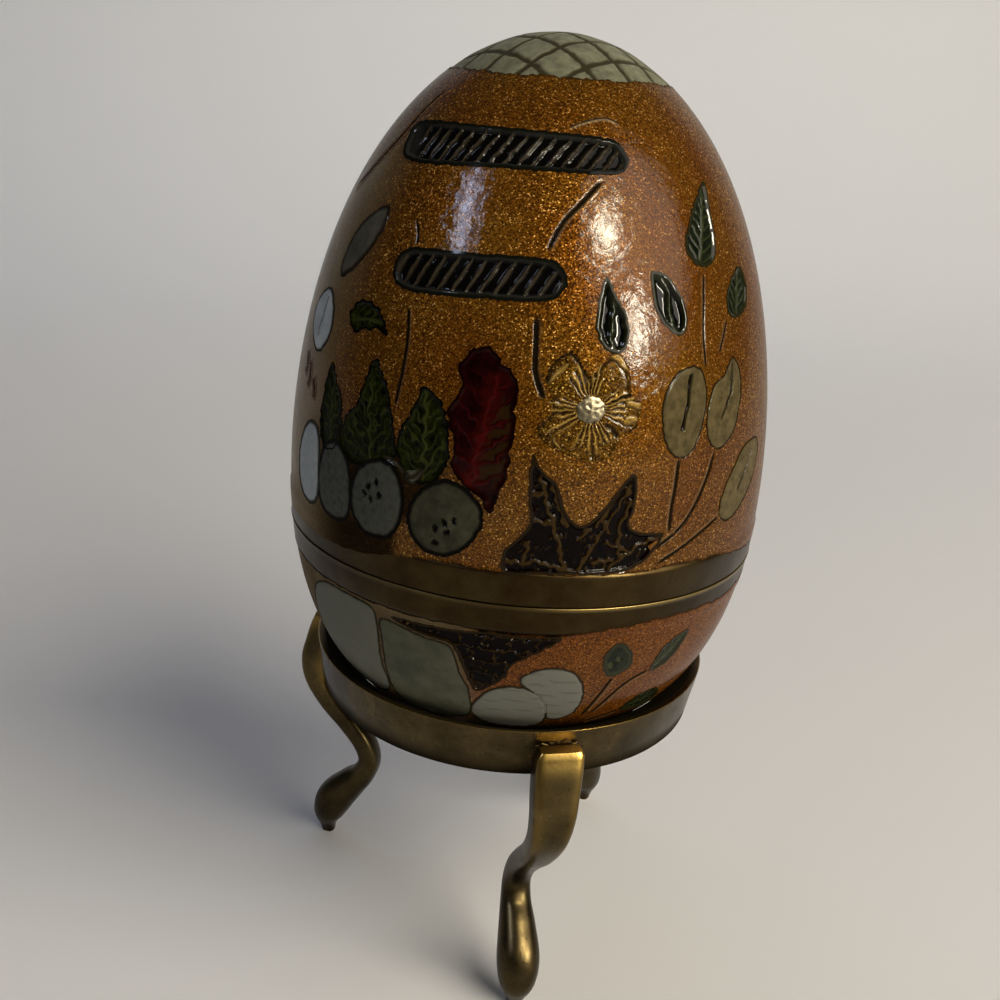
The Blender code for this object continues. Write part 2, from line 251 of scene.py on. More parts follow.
def goldstone(name, shadow, body, bright, spark, redness, film_and_light="#948260"):
    """Flakes in lacquer. A cloud 14 mm wide shifts the colour between amber and red."""
    finish, tree, shader, place = new_finish(name, Specular_IOR_Level=0.0, Coat_Roughness=0.04,
                                             Coat_IOR=1.4)
    feeds = {"Vector": place, "Scale": per_mm(FLAKE)}
    flakes = add(tree, "TexVoronoi", feeds).outputs["Color"]
    lot = add(tree, "SeparateColor", {"Color": flakes}).outputs[0]
    stops = {0.0: shadow, 0.42: body, 0.74: bright, 0.93: bright, 1.0: spark}
    colour = add(tree, "ValToRGB", {"Fac": lot}, stops).outputs[0]
    cloud = add(tree, "TexNoise", {"Vector": place, "Scale": per_mm(14), "Detail": 3.0})
    feeds = {"Value": cloud.outputs["Fac"], "From Min": 0.42, "From Max": 0.66, "To Max": redness}
    feeds = {0: add(tree, "MapRange", feeds).outputs[0], 6: colour, 7: srgb("#D0783E")}
    colour = add(tree, "Mix", feeds, data_type="RGBA", blend_type="MULTIPLY").outputs[2]
    # The mark colour paints shade in grooves and low in the ring. The film colour also paints highlights
    # and fill light.
    colour = overlay(tree, colour, mark="#1C150B", tone=film_and_light)
    tree.links.new(colour, shader.inputs["Base Color"])

    facing = add(tree, "NewGeometry").outputs["Normal"]
    feeds = {0: flakes, 1: (0.5, 0.5, 0.5)}
    centred = add(tree, "VectorMath", feeds, operation="SUBTRACT").outputs[0]
    feeds = {0: centred, "Scale": FLAKE_TIP}
    tipped = add(tree, "VectorMath", feeds, operation="SCALE").outputs[0]
    summed = add(tree, "VectorMath", {0: facing, 1: tipped}, operation="ADD").outputs[0]
    add(tree, "VectorMath", {0: summed}, into=shader.inputs["Normal"], operation="NORMALIZE")

    ripple = add(tree, "TexNoise", {"Vector": place, "Scale": per_mm(1.3), "Detail": 5.0,
                                    "Roughness": 0.6, "Distortion": 0.8}).outputs["Fac"]
    feeds = {"Height": ripple, "Strength": 0.8, "Distance": 0.08 * MM}
    add(tree, "Bump", feeds, into=shader.inputs["Coat Normal"])
    groove = add(tree, "Attribute", attribute_name="mark").outputs["Fac"]
    levels = {"Coat Weight": (0.4, 0.0), "Metallic": (0.18, 0.0), "Roughness": (0.42, 0.9)}
    for key, (clean, marked) in levels.items():
        feeds = {"Value": groove, "To Min": clean, "To Max": marked}
        add(tree, "MapRange", feeds, into=shader.inputs[key])
    return finish


amber = goldstone("goldstone lacquer", "#3A2207", "#543309", "#714A12", "#C0954F", 0.35)
print("flakes per cm:", 10 / FLAKE)

# %% [markdown]
# ## Lacquer in the pressed cells
#
# The other colours are opaque lacquer or soft enamel, brushed into cells and rubbed down. They differ
# in colour, gloss and how mottled they are, and share the rest: a thin border where the brass wall of
# the cell shows, and veins or pits that were pressed as well. The mesh carries three numbers at each
# point for this: edge, the distance from the rim in millimetres, mark, how much of a vein or line is
# there, and tone, which some motifs use for a second colour.


# %% Pressed enamel
def enamel(name, dark, light, mottle, mark, second, border, width, dull, coat, haze):
    """Mottled lacquer. Mottle is the size of its clouds and width that of its border, in mm."""
    finish, tree, shader, place = new_finish(name, Roughness=dull, Specular_IOR_Level=0.0,
                                             Coat_Weight=coat, Coat_Roughness=haze, Coat_IOR=1.4)
    feeds = {"Vector": place, "Scale": per_mm(mottle), "Detail": 7.0, "Roughness": 0.62}
    cloud = add(tree, "TexNoise", feeds).outputs["Fac"]
    colour = add(tree, "ValToRGB", {"Fac": cloud}, {0.36: dark, 0.64: light}).outputs[0]
    colour = overlay(tree, colour, tone=second, mark=mark)
    edge = add(tree, "Attribute", attribute_name="edge").outputs["Fac"]
    feeds = {"Value": edge, "From Min": width * 0.6, "From Max": width * 1.4}
    feeds = {0: add(tree, "MapRange", feeds).outputs[0], 6: srgb(border), 7: colour}
    whole = add(tree, "Mix", feeds, data_type="RGBA").outputs[2]
    tree.links.new(whole, shader.inputs["Base Color"])
    grit = add(tree, "TexNoise", {"Vector": place, "Scale": per_mm(0.35), "Detail": 3.0})
    feeds = {"Height": grit.outputs["Fac"], "Strength": 0.5, "Distance": 0.06 * MM}
    add(tree, "Bump", feeds, into=shader.inputs["Normal"])
    return finish


# Group: name, two mottled colours and their size, veins or pits, second colour, border and its
# width, roughness, and the weight and roughness of the clear coat.
ENAMELS = {
    # Nearly black, with dull brass ribs and a grey worn end.
    "bars": ("black lacquer over brass ribs", "#2B2B27", "#3A3A35", 3, "#40382A", "#0A0907", "#14150E",
        0.45, 0.6, 0.2, 0.08),
    # Wet and dark, so the lamps run along each ridge as a white line.
    "dark_leaves": ("bottle green lacquer", "#0C110A", "#1E2414", 2, "#383D22", "#030302", "#282714",
        0.4, 0.6, 0.5, 0.05),
    # Moss green with black showing through.
    "green_leaves": ("mottled leaf green lacquer", "#040501", "#212706", 1.0, "#3B4019", "#10150A",
        "#070803", 0.25, 0.6, 0.2, 0.1),
    # Deep red that turns black where it pools.
    "red_leaf": ("oxblood lacquer", "#0C0101", "#270604", 1.6, "#4C0F0C", "#2A1C0A", "#100201", 0.25,
        0.6, 0.2, 0.08),
    # Soft grey, as of old porcelain that has lost its shine.
    "fruit": ("bone white enamel", "#2F2F24", "#474634", 2.2, "#050402", "#4D504C", "#080602", 0.4,
        0.75, 0.15, 0.15),
    # The palest fruit and the bud, a cool chalk white.
    "chalk": ("chalk white enamel", "#A6ACAE", "#C4CACA", 2.2, "#1C1B17", "#A2A8AA", "#2C2A24", 0.35,
        0.75, 0.15, 0.15),
    # Warm grey with a grainy face.
    "pods": ("olive grey enamel", "#4A4129", "#665A3B", 1.1, "#0C0803", "#362F1B", "#231A0A", 0.2, 0.7,
        0.2, 0.15),
    # Almost black, warm where brass lines cross it.
    "maple": ("maroon black lacquer", "#020101", "#0C0302", 1.1, "#37280F", "#060303", "#261C0B", 0.3,
        0.6, 0.2, 0.06),
    # Chalky white in shade.
    "pale": ("chalky grey enamel", "#494A3D", "#5C5D4B", 3, "#242119", "#74746A", "#2E281C", 0.25, 0.7,
        0.15, 0.15),
    # A grey bloom, half clear.
    "haze": ("clouded grey lacquer", "#504D43", "#676356", 3, "#1A1710", "#3C3A32", "#2A2218", 0.5,
        0.6, 0.3, 0.12),
    # Matt grey green, lighter than anything near it.
    "cap": ("grey green cap enamel", "#6B6C57", "#89896E", 1.4, "#3E3927", "#535442", "#353021", 0.15,
        0.7, 0.15, 0.15),
}
FINISHES = {group: enamel(*recipe) for group, recipe in ENAMELS.items()}
print(len(FINISHES), "enamels")

# %% [markdown]
# ## Brass
#
# Three brasses and a plating show. The band round the egg is dark satin brass under old lacquer. The
# stand is cast and turned brass, dulled to olive brown and speckled, and rubbed back to gold on its
# edges and on the flat top of the front leg. Solder has run out beside each leg in a darker brown.
# The dome in the flower has a worn silvery plating over the same metal, so it glints paler than all
# around it. Brass keeps a metal's default IOR, and its wear is a mix of two colours and two
# roughnesses. The wear colour also paints a highlight along the base's lip on the lit right side, and
# the dirt colour paints shade on the inside of the ring.


# %% Aged brass
def aged_brass(name, dull, bright, worn, cloud_mm, rough_low, rough_high):
    """Tarnish in clouds and specks. The mesh's wear shows polished metal, and on the base's lip a
    painted highlight. Its grime shows old dirt, and on the inside of the ring painted shade.
    """
    finish, tree, shader, place = new_finish(name, Metallic=1.0)
    feeds = {"Vector": place, "Scale": per_mm(cloud_mm), "Detail": 8.0, "Roughness": 0.65}
    cloud = add(tree, "TexNoise", feeds).outputs["Fac"]
    tarnish = add(tree, "ValToRGB", {"Fac": cloud}, {0.35: dull, 0.66: bright}).outputs[0]
    feeds = {"Vector": place, "Scale": per_mm(0.5), "Detail": 4.0}
    speck = add(tree, "TexNoise", feeds).outputs["Fac"]
    feeds = {"Value": speck, "From Min": 0.6, "From Max": 0.7, "To Max": 0.6}
    feeds = {0: add(tree, "MapRange", feeds).outputs[0], 6: tarnish, 7: srgb("#2A2010")}
    colour = add(tree, "Mix", feeds, data_type="RGBA").outputs[2]
    # The wear colour also paints a highlight on the base's lip. The grime colour also paints shade inside
    # the ring.
    colour = overlay(tree, colour, wear=worn, grime="#0A0805")
    tree.links.new(colour, shader.inputs["Base Color"])
    feeds = {"Value": cloud, "From Min": 0.3, "From Max": 0.7, "To Min": rough_high,
             "To Max": rough_low}
    gloss = add(tree, "MapRange", feeds).outputs[0]
    grime = add(tree, "Attribute", attribute_name="grime").outputs["Fac"]
    add(tree, "Math", {0: gloss, 1: grime}, into=shader.inputs["Roughness"], operation="MAXIMUM")
    feeds = {"Height": speck, "Strength": 0.4, "Distance": 0.03 * MM}
    add(tree, "Bump", feeds, into=shader.inputs["Normal"])
    return finish


band_brass = aged_brass("dark satin brass", "#281C0E", "#3F341E", "#A08A55", 7, 0.3, 0.42)
stand_brass = aged_brass("tarnished cast brass", "#372F1E", "#574A30", "#92763A", 5, 0.24, 0.38)
solder = aged_brass("brown hard solder", "#201810", "#43341D", "#7C6232", 1.5, 0.35, 0.5)
FINISHES["silver"] = aged_brass("worn silver dome", "#2C271D", "#8A806A", "#B8AE96", 0.5, 0.32, 0.5)
print("brasses:", band_brass.name, stand_brass.name, solder.name)

# %% [markdown]
# ## The two halves of the shell
#
# The halves are pressed from sheet brass 1.5 mm thick. The base carries a collar that enters the lid,
# and a fine lip where the two meet. Each half is turned from one profile, out of the axis, down the
# outside, round the edge and back up the inside, so it is hollow with a true wall. Under the lacquer
# the profile runs deeper, so that cells can be sunk in it.

# %% Shell profiles
WALL, BED = 1.5, 0.85
SEAM_HEIGHT, SEAM_GAP, LIP, LIP_DROP = 58.8, 0.08, 0.12, 0.7
COLLAR_RISE, COLLAR_WALL, COLLAR_ROOT, COLLAR_PLAY = 4.0, 1.2, 5.0, 0.3
BAND_TOP, BAND_BOTTOM = 62.9, 55.3
POLE = 0.02
TURNS = np.linspace(0, 360, 192, endpoint=False)


def ease(value, low, high):
    """0 up to low, 1 from high, and 3t^2 - 2t^3 between."""
    t = np.clip((value - low) / (high - low), 0, 1)
    return t * t * (3 - 2 * t)


def fall(value, low, high):
    """1 up to low, 0 from high: the other way round from ease."""
    return 1 - ease(value, low, high)


def bell(value, centre, width):
    """Bell curve exp(-((value - centre) / width)^2)."""
    return np.exp(-(((value - centre) / width) ** 2))


def rounded(profile, radius):
    """Cut each corner of a profile by at most radius and bridge it with a curve of five points."""
    profile = np.asarray(profile, float)
    soft = [profile[:1]]
    for before, corner, after in zip(profile, profile[1:], profile[2:]):
        to_before, to_after = before - corner, after - corner
        reach = np.minimum(radius, 0.45 * np.array([np.hypot(*to_before), np.hypot(*to_after)]))
        start = corner + to_before / np.hypot(*to_before) * reach[0]
        end = corner + to_after / np.hypot(*to_after) * reach[1]
        t = np.linspace(0, 1, 5)[:, None]
        soft.append((1 - t) ** 2 * start + 2 * t * (1 - t) * corner + t**2 * end)
    return np.concatenate(soft + [profile[-1:]])


def spin(profile):
    """Carry a profile of (radius, height) round the axis."""
    out, up = np.asarray(profile, float).T
    return turned(np.maximum(out, POLE)[:, None], TURNS[None, :], up[:, None])


band_top, band_bottom = arc_at_height(BAND_TOP), arc_at_height(BAND_BOTTOM)
lid_low, seam = arc_at_height(SEAM_HEIGHT + SEAM_GAP), arc_at_height(SEAM_HEIGHT)
print(f"band from arc {band_bottom:.1f} to {band_top:.1f} mm")

# %% The lid and the base
arcs = np.concatenate([np.linspace(ARCS[-1], band_top + 0.6, 60), np.linspace(band_top, lid_low, 12)])
outside = np.stack(outline(arcs, -BED * ease(arcs, band_top - 0.1, band_top + 0.5)), axis=1)
inside = np.stack(outline(np.linspace(lid_low, ARCS[-1], 40), -WALL), axis=1)
inside[0] = outside[-1] - (WALL, 0)
lid_edge = rounded([*outside[-4:], *inside[:2]], 0.18)
lid_profile = np.concatenate([outside[:-4], lid_edge[1:], inside[2:]])
make_piece("lid_shell", [(spin(lid_profile), False, {})], band_brass, ["egg_lid"])

lip_radius, seam_height = outline(seam, LIP)
collar_out = outline(seam)[0] - WALL - COLLAR_PLAY
collar_in = collar_out - COLLAR_WALL
bowl_arcs = np.linspace(ARCS[0], arc_at_height(SEAM_HEIGHT - COLLAR_ROOT), 30)
bowl = np.stack(outline(bowl_arcs, -WALL), axis=1)
collar = rounded([bowl[-1], (collar_in, seam_height - COLLAR_ROOT / 2),
                  (collar_in, seam_height + COLLAR_RISE), (collar_out, seam_height + COLLAR_RISE),
                  (collar_out, seam_height), (lip_radius, seam_height),
                  outline(seam - LIP_DROP), outline(seam - 2 * LIP_DROP)], 0.12)
low_arcs = np.concatenate([np.linspace(seam - 2 * LIP_DROP, band_bottom, 8)[1:],
                           np.linspace(band_bottom - 0.6, ARCS[0], 40)])
low_lift = -BED * ease(band_bottom - low_arcs, -0.1, 0.5)
low_lift = low_lift * ease(low_arcs, ARCS[0] + 9, ARCS[0] + 10)
low = np.stack(outline(low_arcs, low_lift), axis=1)
base_profile = np.concatenate([bowl[:-1], collar, low])
# Painted highlight along the base's lip at the seam, strongest on the right where the lamps fall.
lip_wear = 0.7 * bell(base_profile[:, 1], SEAM_HEIGHT - 0.1, 0.15)[:, None]
lip_wear = lip_wear * (0.15 + 0.85 * ease(TURNS, 0, 20) * fall(TURNS, 80, 110))
make_piece("base_shell", [(spin(base_profile), False, {"wear": lip_wear})], band_brass,
           ["egg_base"])

# %% [markdown]
# ## Pressing a cell
#
# A cell has a measured outline, and inside it a relief of its own: ribs, veins, pits or petals. The
# outline is a smooth closed curve through a few points. Its grid runs from a place in the middle
# straight out to the rim, drops over the rim into the shell and comes back underneath, so each cell
# is a closed plug of colour set in the brass. The relief is a function of the place in millimetres
# and of the distance to the rim.

# %% Smooth outlines and distances
def smooth(points, step, closed=True):
    """Catmull-Rom curve, p1 + (p2-p0)t/2 + (p0-5p1/2+2p2-p3/2)t^2 + (3(p1-p2)+p3-p0)t^3/2,
    through every point, then spaced evenly by its length in the first two numbers."""
    points = np.asarray(points, float)
    if closed:
        padded = np.concatenate([points[-1:], points, points[:2]])
    else:
        padded = np.concatenate([2 * points[:1] - points[1:2], points, 2 * points[-1:] - points[-2:-1]])
    t = np.linspace(0, 1, 16, endpoint=False)[None, :, None]
    p0, p1, p2, p3 = (padded[k : len(padded) - 3 + k][:, None, :] for k in range(4))
    curve = p1 + (p2 - p0) * t / 2 + (p0 - 2.5 * p1 + 2 * p2 - p3 / 2) * t**2
    curve = (curve + (3 * (p1 - p2) + p3 - p0) / 2 * t**3).reshape(-1, points.shape[1])
    curve = np.concatenate([curve, padded[-2:-1]])
    length = np.concatenate([[0], np.cumsum(np.hypot(*np.diff(curve[:, :2], axis=0).T))])
    count = max(8, int(length[-1] / step))
    even = np.linspace(0, length[-1], count, endpoint=not closed)
    return np.stack([np.interp(even, length, column) for column in curve.T], axis=1)


def near_line(x, y, line):
    """Distance to a line of straight pieces: the least of the distances to its pieces."""
    best = np.full(np.shape(x), np.inf)
    for (ax, ay), (bx, by) in zip(line, line[1:]):
        dx, dy = bx - ax, by - ay
        t = np.clip(((x - ax) * dx + (y - ay) * dy) / (dx * dx + dy * dy), 0, 1)
        best = np.minimum(best, np.hypot(x - ax - t * dx, y - ay - t * dy))
    return best


def within(x, y, ring):
    """True inside a closed line: an upward ray crosses it an odd number of times."""
    odd = np.zeros(np.shape(x), bool)
    for (ax, ay), (bx, by) in zip(ring, np.roll(ring, -1, axis=0)):
        if ax != bx:
            odd ^= ((ax > x) != (bx > x)) & (y < (by - ay) * (x - ax) / (bx - ax) + ay)
    return odd


def drift(x, y, size, seed):
    """Sum of five sine waves in random directions, with wavelengths around size."""
    random = np.random.default_rng(seed)
    total = np.zeros(np.broadcast(x, y).shape)
    for angle, phase, stretch in random.uniform(0, 1, (5, 3)) * (math.tau, math.tau, 1.0):
        wave = math.tau / (size * (0.6 + stretch))
        total += np.sin((x * math.cos(angle) + y * math.sin(angle)) * wave + phase)
    return total / 2.5


print("bed depth under the lacquer:", BED, "mm")

# %% A cell, and a groove
# Lifts of a cell's rim, of the ground and of a cell's underside, and how far a hollow stays inside.
RIM, GROUND, PLUG, CELL_INSET, GROOVE_INSET = -0.02, -0.1, -1.1, 0.34, 0.3
# Wavelengths of the wobble of a rim and of the lines inside, the innermost row's share of the
# outline, and the flat strip beside a groove.
RIM_WAVE, INSIDE_WAVE, MIDDLE_SHARE, SKIRT = 1.1, 1.7, 0.004, 0.55
CELLS, HOLLOWS = {}, []


def flat_place(places, middle):
    """Azimuth and arc as millimetres right of and above a middle."""
    azimuth, arc = np.asarray(places, float).T
    across = np.radians(azimuth - middle[0]) * np.interp(arc, ARCS, RADII)
    return np.stack([across, arc - middle[1]], axis=1)


def sink(group, middle, x, y, lift, marks, rim, inset):
    """Lay a grid, x and y in mm from a middle, on the egg, and note the hollow that it needs."""
    arc = middle[1] + y
    azimuth = middle[0] + np.degrees(x / np.interp(arc, ARCS, RADII))
    values = {key: mark * np.ones_like(x) for key, mark in zip(("edge", "mark", "tone"), marks)}
    CELLS.setdefault(group, []).append((lay(azimuth, arc, lift), False, values))
    HOLLOWS.append((middle, rim, inset))


def press(group, places, relief, *numbers, middle=None, to=None, lean=0, grain=0.18, level=0.0,
          rough=0.1, jag=0.07):
    """Press a cell. Its top runs from the middle to the rim, and its underside follows below. It
    may be moved to another azimuth. Its relief takes the numbers and is turned by lean, in degrees.
    Rough and jag are how far, in mm, the tool wandered from the lines inside and from the rim."""
    seed = 7 * len(HOLLOWS)
    middle = np.array(middle if middle else np.mean(places, axis=0))
    ring = smooth(flat_place(places, middle), grain)
    wobble = [drift(*ring.T, RIM_WAVE, seed), drift(*ring.T, RIM_WAVE, seed + 1)]
    ring = ring + jag * np.stack(wobble, axis=1)
    reach = np.hypot(*ring.T).max()
    over = np.linspace(0, 1, max(8, int(reach / grain)))
    under = np.linspace(1, 0, max(2, int(reach / 4) + 1))
    share = np.maximum(np.concatenate([over, under]), MIDDLE_SHARE)
    x, y = share[:, None] * ring[:, 0], share[:, None] * ring[:, 1]
    coarse = np.concatenate([ring[::3], ring[:1]])
    edge = near_line(x, y, coarse)
    turn = math.radians(lean)
    x_drawn = x + rough * drift(x, y, INSIDE_WAVE, seed + 2)
    y_drawn = y + rough * drift(x, y, INSIDE_WAVE, seed + 3)
    u = x_drawn * math.cos(turn) - y_drawn * math.sin(turn)
    v = x_drawn * math.sin(turn) + y_drawn * math.cos(turn)
    lift, mark, tone = relief(u, v, edge, *numbers)
    lift = RIM + level + lift
    lift[len(over):] = PLUG
    at = middle[0] if to is None else to
    sink(group, (at, middle[1]), x, y, lift, (edge, mark, tone), coarse, CELL_INSET)


def score(group, places, width, depth, bright, shift=0.0):
    """Score a groove. Across it the depth follows a soft step and the middle is painted dark as
    shade, and one edge is raised a little and carries a painted highlight. Shift turns it round the
    egg, in degrees."""
    path = smooth(flat_place(places, places[0]), 0.3, closed=False)
    along = np.gradient(path, axis=0)
    along = along / np.hypot(*along.T)[:, None]
    side = np.stack([along[:, 1], -along[:, 0]], axis=1)
    steps = np.linspace(-1, 1, 15)
    t = np.linspace(0, 1, len(path))[:, None]
    fade = ease(t, 0, 0.12) * ease(1 - t, 0, 0.12)
    skirt = width / 2 + SKIRT
    ring = np.concatenate([steps, [1, -1]])[None, :]
    x = path[:, :1] + side[:, :1] * ring * skirt
    y = path[:, 1:] + side[:, 1:] * ring * skirt
    off = np.abs(ring) * skirt
    # Painted shade in the groove's middle, and a painted highlight in the film colour along one raised
    # edge.
    deep = fall(off, width * 0.2, width * 0.7) * fade
    painted_lip_highlight = bell(ring * skirt, width / 2 + 0.12, 0.14) * fade * bright
    lift = RIM - 0.05 - 0.5 * depth * deep + 0.005 * painted_lip_highlight
    lift[:, len(steps):] = PLUG
    rim = np.concatenate([path + side * skirt, (path - side * skirt)[::-1], (path + side * skirt)[:1]])
    marks = off, np.clip(deep * 1.6, 0, 1), 0.32 * painted_lip_highlight
    sink(group, (places[0][0] + shift, places[0][1]), x, y, lift, marks, rim, GROOVE_INSET)


print("a cell's rim stands", RIM - GROUND, "mm over the ground")

# %% [markdown]
# ## What is pressed inside the cells
#
# Each relief below was drawn from a close look at one motif. It takes a place, right of and above the
# cell's middle, and the distance to the rim, and gives the lift in millimetres, the mark and the
# tone. Depths are a few tenths of a millimetre, the most that thin sheet takes without tearing. They
# are guesses from the shading.

# %% Reliefs of leaves, fruit and pods
def veined(u, v, edge, depth, spacing, rise=0.9):
    """Bed with a rib down the middle and side veins along v - rise |u| = whole spacings."""
    bed = ease(edge, 0.15, 0.55)
    slant = (v - rise * np.abs(u)) / spacing
    vein = fall(np.abs(slant - np.round(slant)) * spacing, 0.04, 0.26)
    rib = fall(np.abs(u), 0.06, 0.28)
    lines = np.maximum(rib, 0.8 * vein * ease(edge, 0.3, 0.7)) * bed
    return -depth * bed * (1 - 0.35 * lines), lines * 0.9, 0.0


def cupped(u, v, edge, depth, bend):
    """Two hollow halves on either side of a ridge u = bend sin(0.9 v), as in a coffee bean."""
    bed = ease(edge, 0.25, 0.8)
    ridge = bell(u - bend * np.sin(v * 0.9), 0, 0.32)
    return -depth * bed * (1 - 0.85 * ridge), 0.5 * ridge * bed, bed * (1 - ridge)


def pitted(u, v, edge, pits, tint=0.0, size=0.42):
    """Nearly flush disc with a rough dark ring and small pits at given places."""
    dots = np.array([np.hypot(u - a, (v - b) * 0.8) for a, b in pits]).min(axis=0)
    rough = 0.09 * np.sin(9 * np.arctan2(v, u)) * np.sin(23 * np.arctan2(v, u))
    pit, trough = fall(dots + rough, size * 0.6, size), bell(edge, 0.3, 0.2)
    crown = 0.05 * ease(edge, 0.4, 2.5)
    second = tint * np.clip(0.75 + 0.3 * drift(u, v, 0.9, 31), 0, 1)
    return crown - 0.04 * trough - 0.2 * pit, np.maximum(pit, 0.9 * trough), second


def slit(u, v, edge, line, tint=0.0):
    """Flush fill with one dark cut along a line, and a fine groove round the cell."""
    cut = fall(near_line(u, v, line), 0.12, 0.3)
    return 0.02 - 0.1 * bell(edge, 0.15, 0.12) - 0.3 * cut, cut, tint


def lined(u, v, edge, lines, width, depth):
    """Sunk cell crossed by raised lines at the level of its rim, with chips of brass showing."""
    off = np.array([near_line(u, v, line) for line in lines]).min(axis=0)
    raised, bed = fall(off, width * 0.4, width), ease(edge, 0.25, 0.6)
    chips = ease(drift(u, v, 0.9, 8), 0.45, 0.8) * ease(drift(u, v, 2.5, 9), -0.2, 0.5)
    high = np.maximum(raised, 0.5 * chips)
    return -depth * bed * (1 - 0.8 * high), np.maximum(raised, 0.6 * chips) * bed, 0.0


# %% Reliefs of the bars and the flower
RIB_PITCH, RIB_LEAN, BAR_DEPTH = 1.55, 0.5, 0.42


def ribbed(u, v, edge, first):
    """Ribs along u - RIB_LEAN v = whole pitches, thick in the middle and pointed at both ends.
    They are worn away left of the first one."""
    place = (u - RIB_LEAN * v) / RIB_PITCH
    off = np.abs(place - np.round(place)) * RIB_PITCH
    bed, whole = ease(edge, 0.4, 0.8), ease(u, first - 1, first + 1)
    thick = 0.16 + 0.2 * np.clip(1 - (v / 2.0) ** 2, 0, 1) + 0.05 * np.sin(2.3 * u)
    rib = fall(off, thick * 0.3, thick) * ease(edge, 0.35, 0.7) * whole
    worn = 0.75 * (1 - whole)
    return -BAR_DEPTH * bed * (1 - 0.6 * rib - 0.5 * worn), rib, bed * (1 - worn)


CREASES = [[(-0.3, 2.2), (-0.6, 4.0)], [(-2.4, -0.2), (-4.5, -0.3)], [(2.4, 0.9), (4.7, 1.8)],
           [(1.9, -1.6), (3.5, -3.0)]]


def petalled(u, v, edge):
    """Short raised rays, cos(34 angle) pulled about by a slower wave, in four bunches round the
    centre, dark creases between the petals, and a dark rim of painted shade, deepest at the upper left."""
    angle, reach = np.arctan2(u, v), np.hypot(u, v)
    wave = np.cos(34 * angle + 1.2 * np.sin(5 * angle))
    ray, gap = ease(wave, 0.25, 0.95), ease(-wave, 0.25, 0.95)
    bunch = ease(np.cos(4 * angle + 0.6), -0.85, -0.3)
    length = 4.5 + 0.8 * np.sin(11 * angle) + 0.6 * np.sin(17 * angle)
    near = ease(reach, 1.5, 1.9) * fall(reach, length - 0.6, length) * bunch
    off = np.array([near_line(u, v, line) for line in CREASES]).min(axis=0)
    # Painted shade on the rim, strongest at the upper left.
    shaded = np.clip(0.5 + 0.6 * np.cos(angle + 0.8), 0.2, 1)
    dark = np.maximum(shaded * fall(edge, 0.35, 0.8), fall(off, 0.1, 0.35))
    lift = -0.08 * ease(edge, 0.1, 0.6) + 0.07 * (ray - gap) * near - 0.1 * dark
    return lift, np.maximum(0.6 * gap * near, 0.9 * dark), 0.8 * ray * near


def folded(u, v, edge):
    """A petal's tip turned over: a raised lump along its upper edge with a painted highlight, falling to
    a fold painted dark as shade.
    """
    # Painted highlight on the lump and painted shade in the fold.
    high = ease(v, -0.35, 0.15) * ease(edge, 0.1, 0.35)
    return -0.16 + 0.24 * high, 0.9 * (1 - high), 0.45 * high


print("ribs every", RIB_PITCH, "mm")

# %% [markdown]
# ## The lid's motifs
#
# Each outline is a list of (azimuth, arc) places, taken from the front of the object and laid on
# the egg. The back of the real lid isn't known, so it repeats some of the same cells, a little more
# plainly, as such boxes do.

# %% Bars and dark leaves
# Spacing of the rows in the plainer cells, most of them on the back.
BACK_GRAIN = 0.3
BARS = {
    "upper": [(-53.7, 42.4), (-54.6, 44.5), (-47.5, 45.3), (-27.4, 45.4), (-4.0, 45.4), (17.2, 45.1),
              (22.3, 43.9), (22.8, 42.2), (18.6, 40.9), (1.4, 40.7), (-17.9, 40.5), (-40.0, 40.0),
              (-50.3, 40.5)],
    "lower": [(-37.4, 28.2), (-36.1, 29.9), (-31.0, 30.7), (-16.1, 31.0), (0.4, 31.2), (4.9, 30.2),
              (5.7, 28.6), (3.3, 27.1), (-1.4, 26.6), (-14.1, 26.3), (-28.9, 25.9), (-35.7, 26.5)],
}
for name, first in (("upper", -11.0), ("lower", -30.0)):
    press("bars", BARS[name], ribbed, first, grain=0.19, rough=0.07)

LEAF_A = [(51.7, 40.4), (50.3, 36.7), (49.4, 33.2), (46.2, 31.1), (41.1, 31.0), (37.5, 32.7),
          (39.5, 35.2), (44.6, 38.2)]
LEAF_B = [(26.7, 30.4), (30.5, 30.0), (33.6, 28.4), (35.7, 26.3), (35.3, 24.1), (32.9, 23.6),
          (29.8, 24.6), (27.2, 26.3), (26.4, 28.8)]
LEAF_C = [(59.6, 30.4), (62.0, 28.3), (59.6, 25.8), (54.8, 24.9), (50.8, 25.3), (50.6, 27.3),
          (54.0, 29.3)]
LEAF_D = [(14.9, 29.7), (17.4, 27.7), (19.9, 25.6), (20.3, 23.2), (18.6, 21.8), (15.2, 22.1),
          (12.9, 24.1), (13.1, 26.8)]
press("dark_leaves", LEAF_A, veined, 0.2, 1.3, lean=20)
press("dark_leaves", LEAF_B, cupped, 0.45, 0.45, lean=-22)
press("dark_leaves", LEAF_C, veined, 0.2, 1.2, lean=19)
press("dark_leaves", LEAF_D, cupped, 0.45, 0.2, lean=-4)
for places, lean, at in ((LEAF_A, 20, 141), (LEAF_B, -22, 219)):
    press("dark_leaves", places, veined, 0.3, 1.5, to=at, lean=lean, grain=BACK_GRAIN)

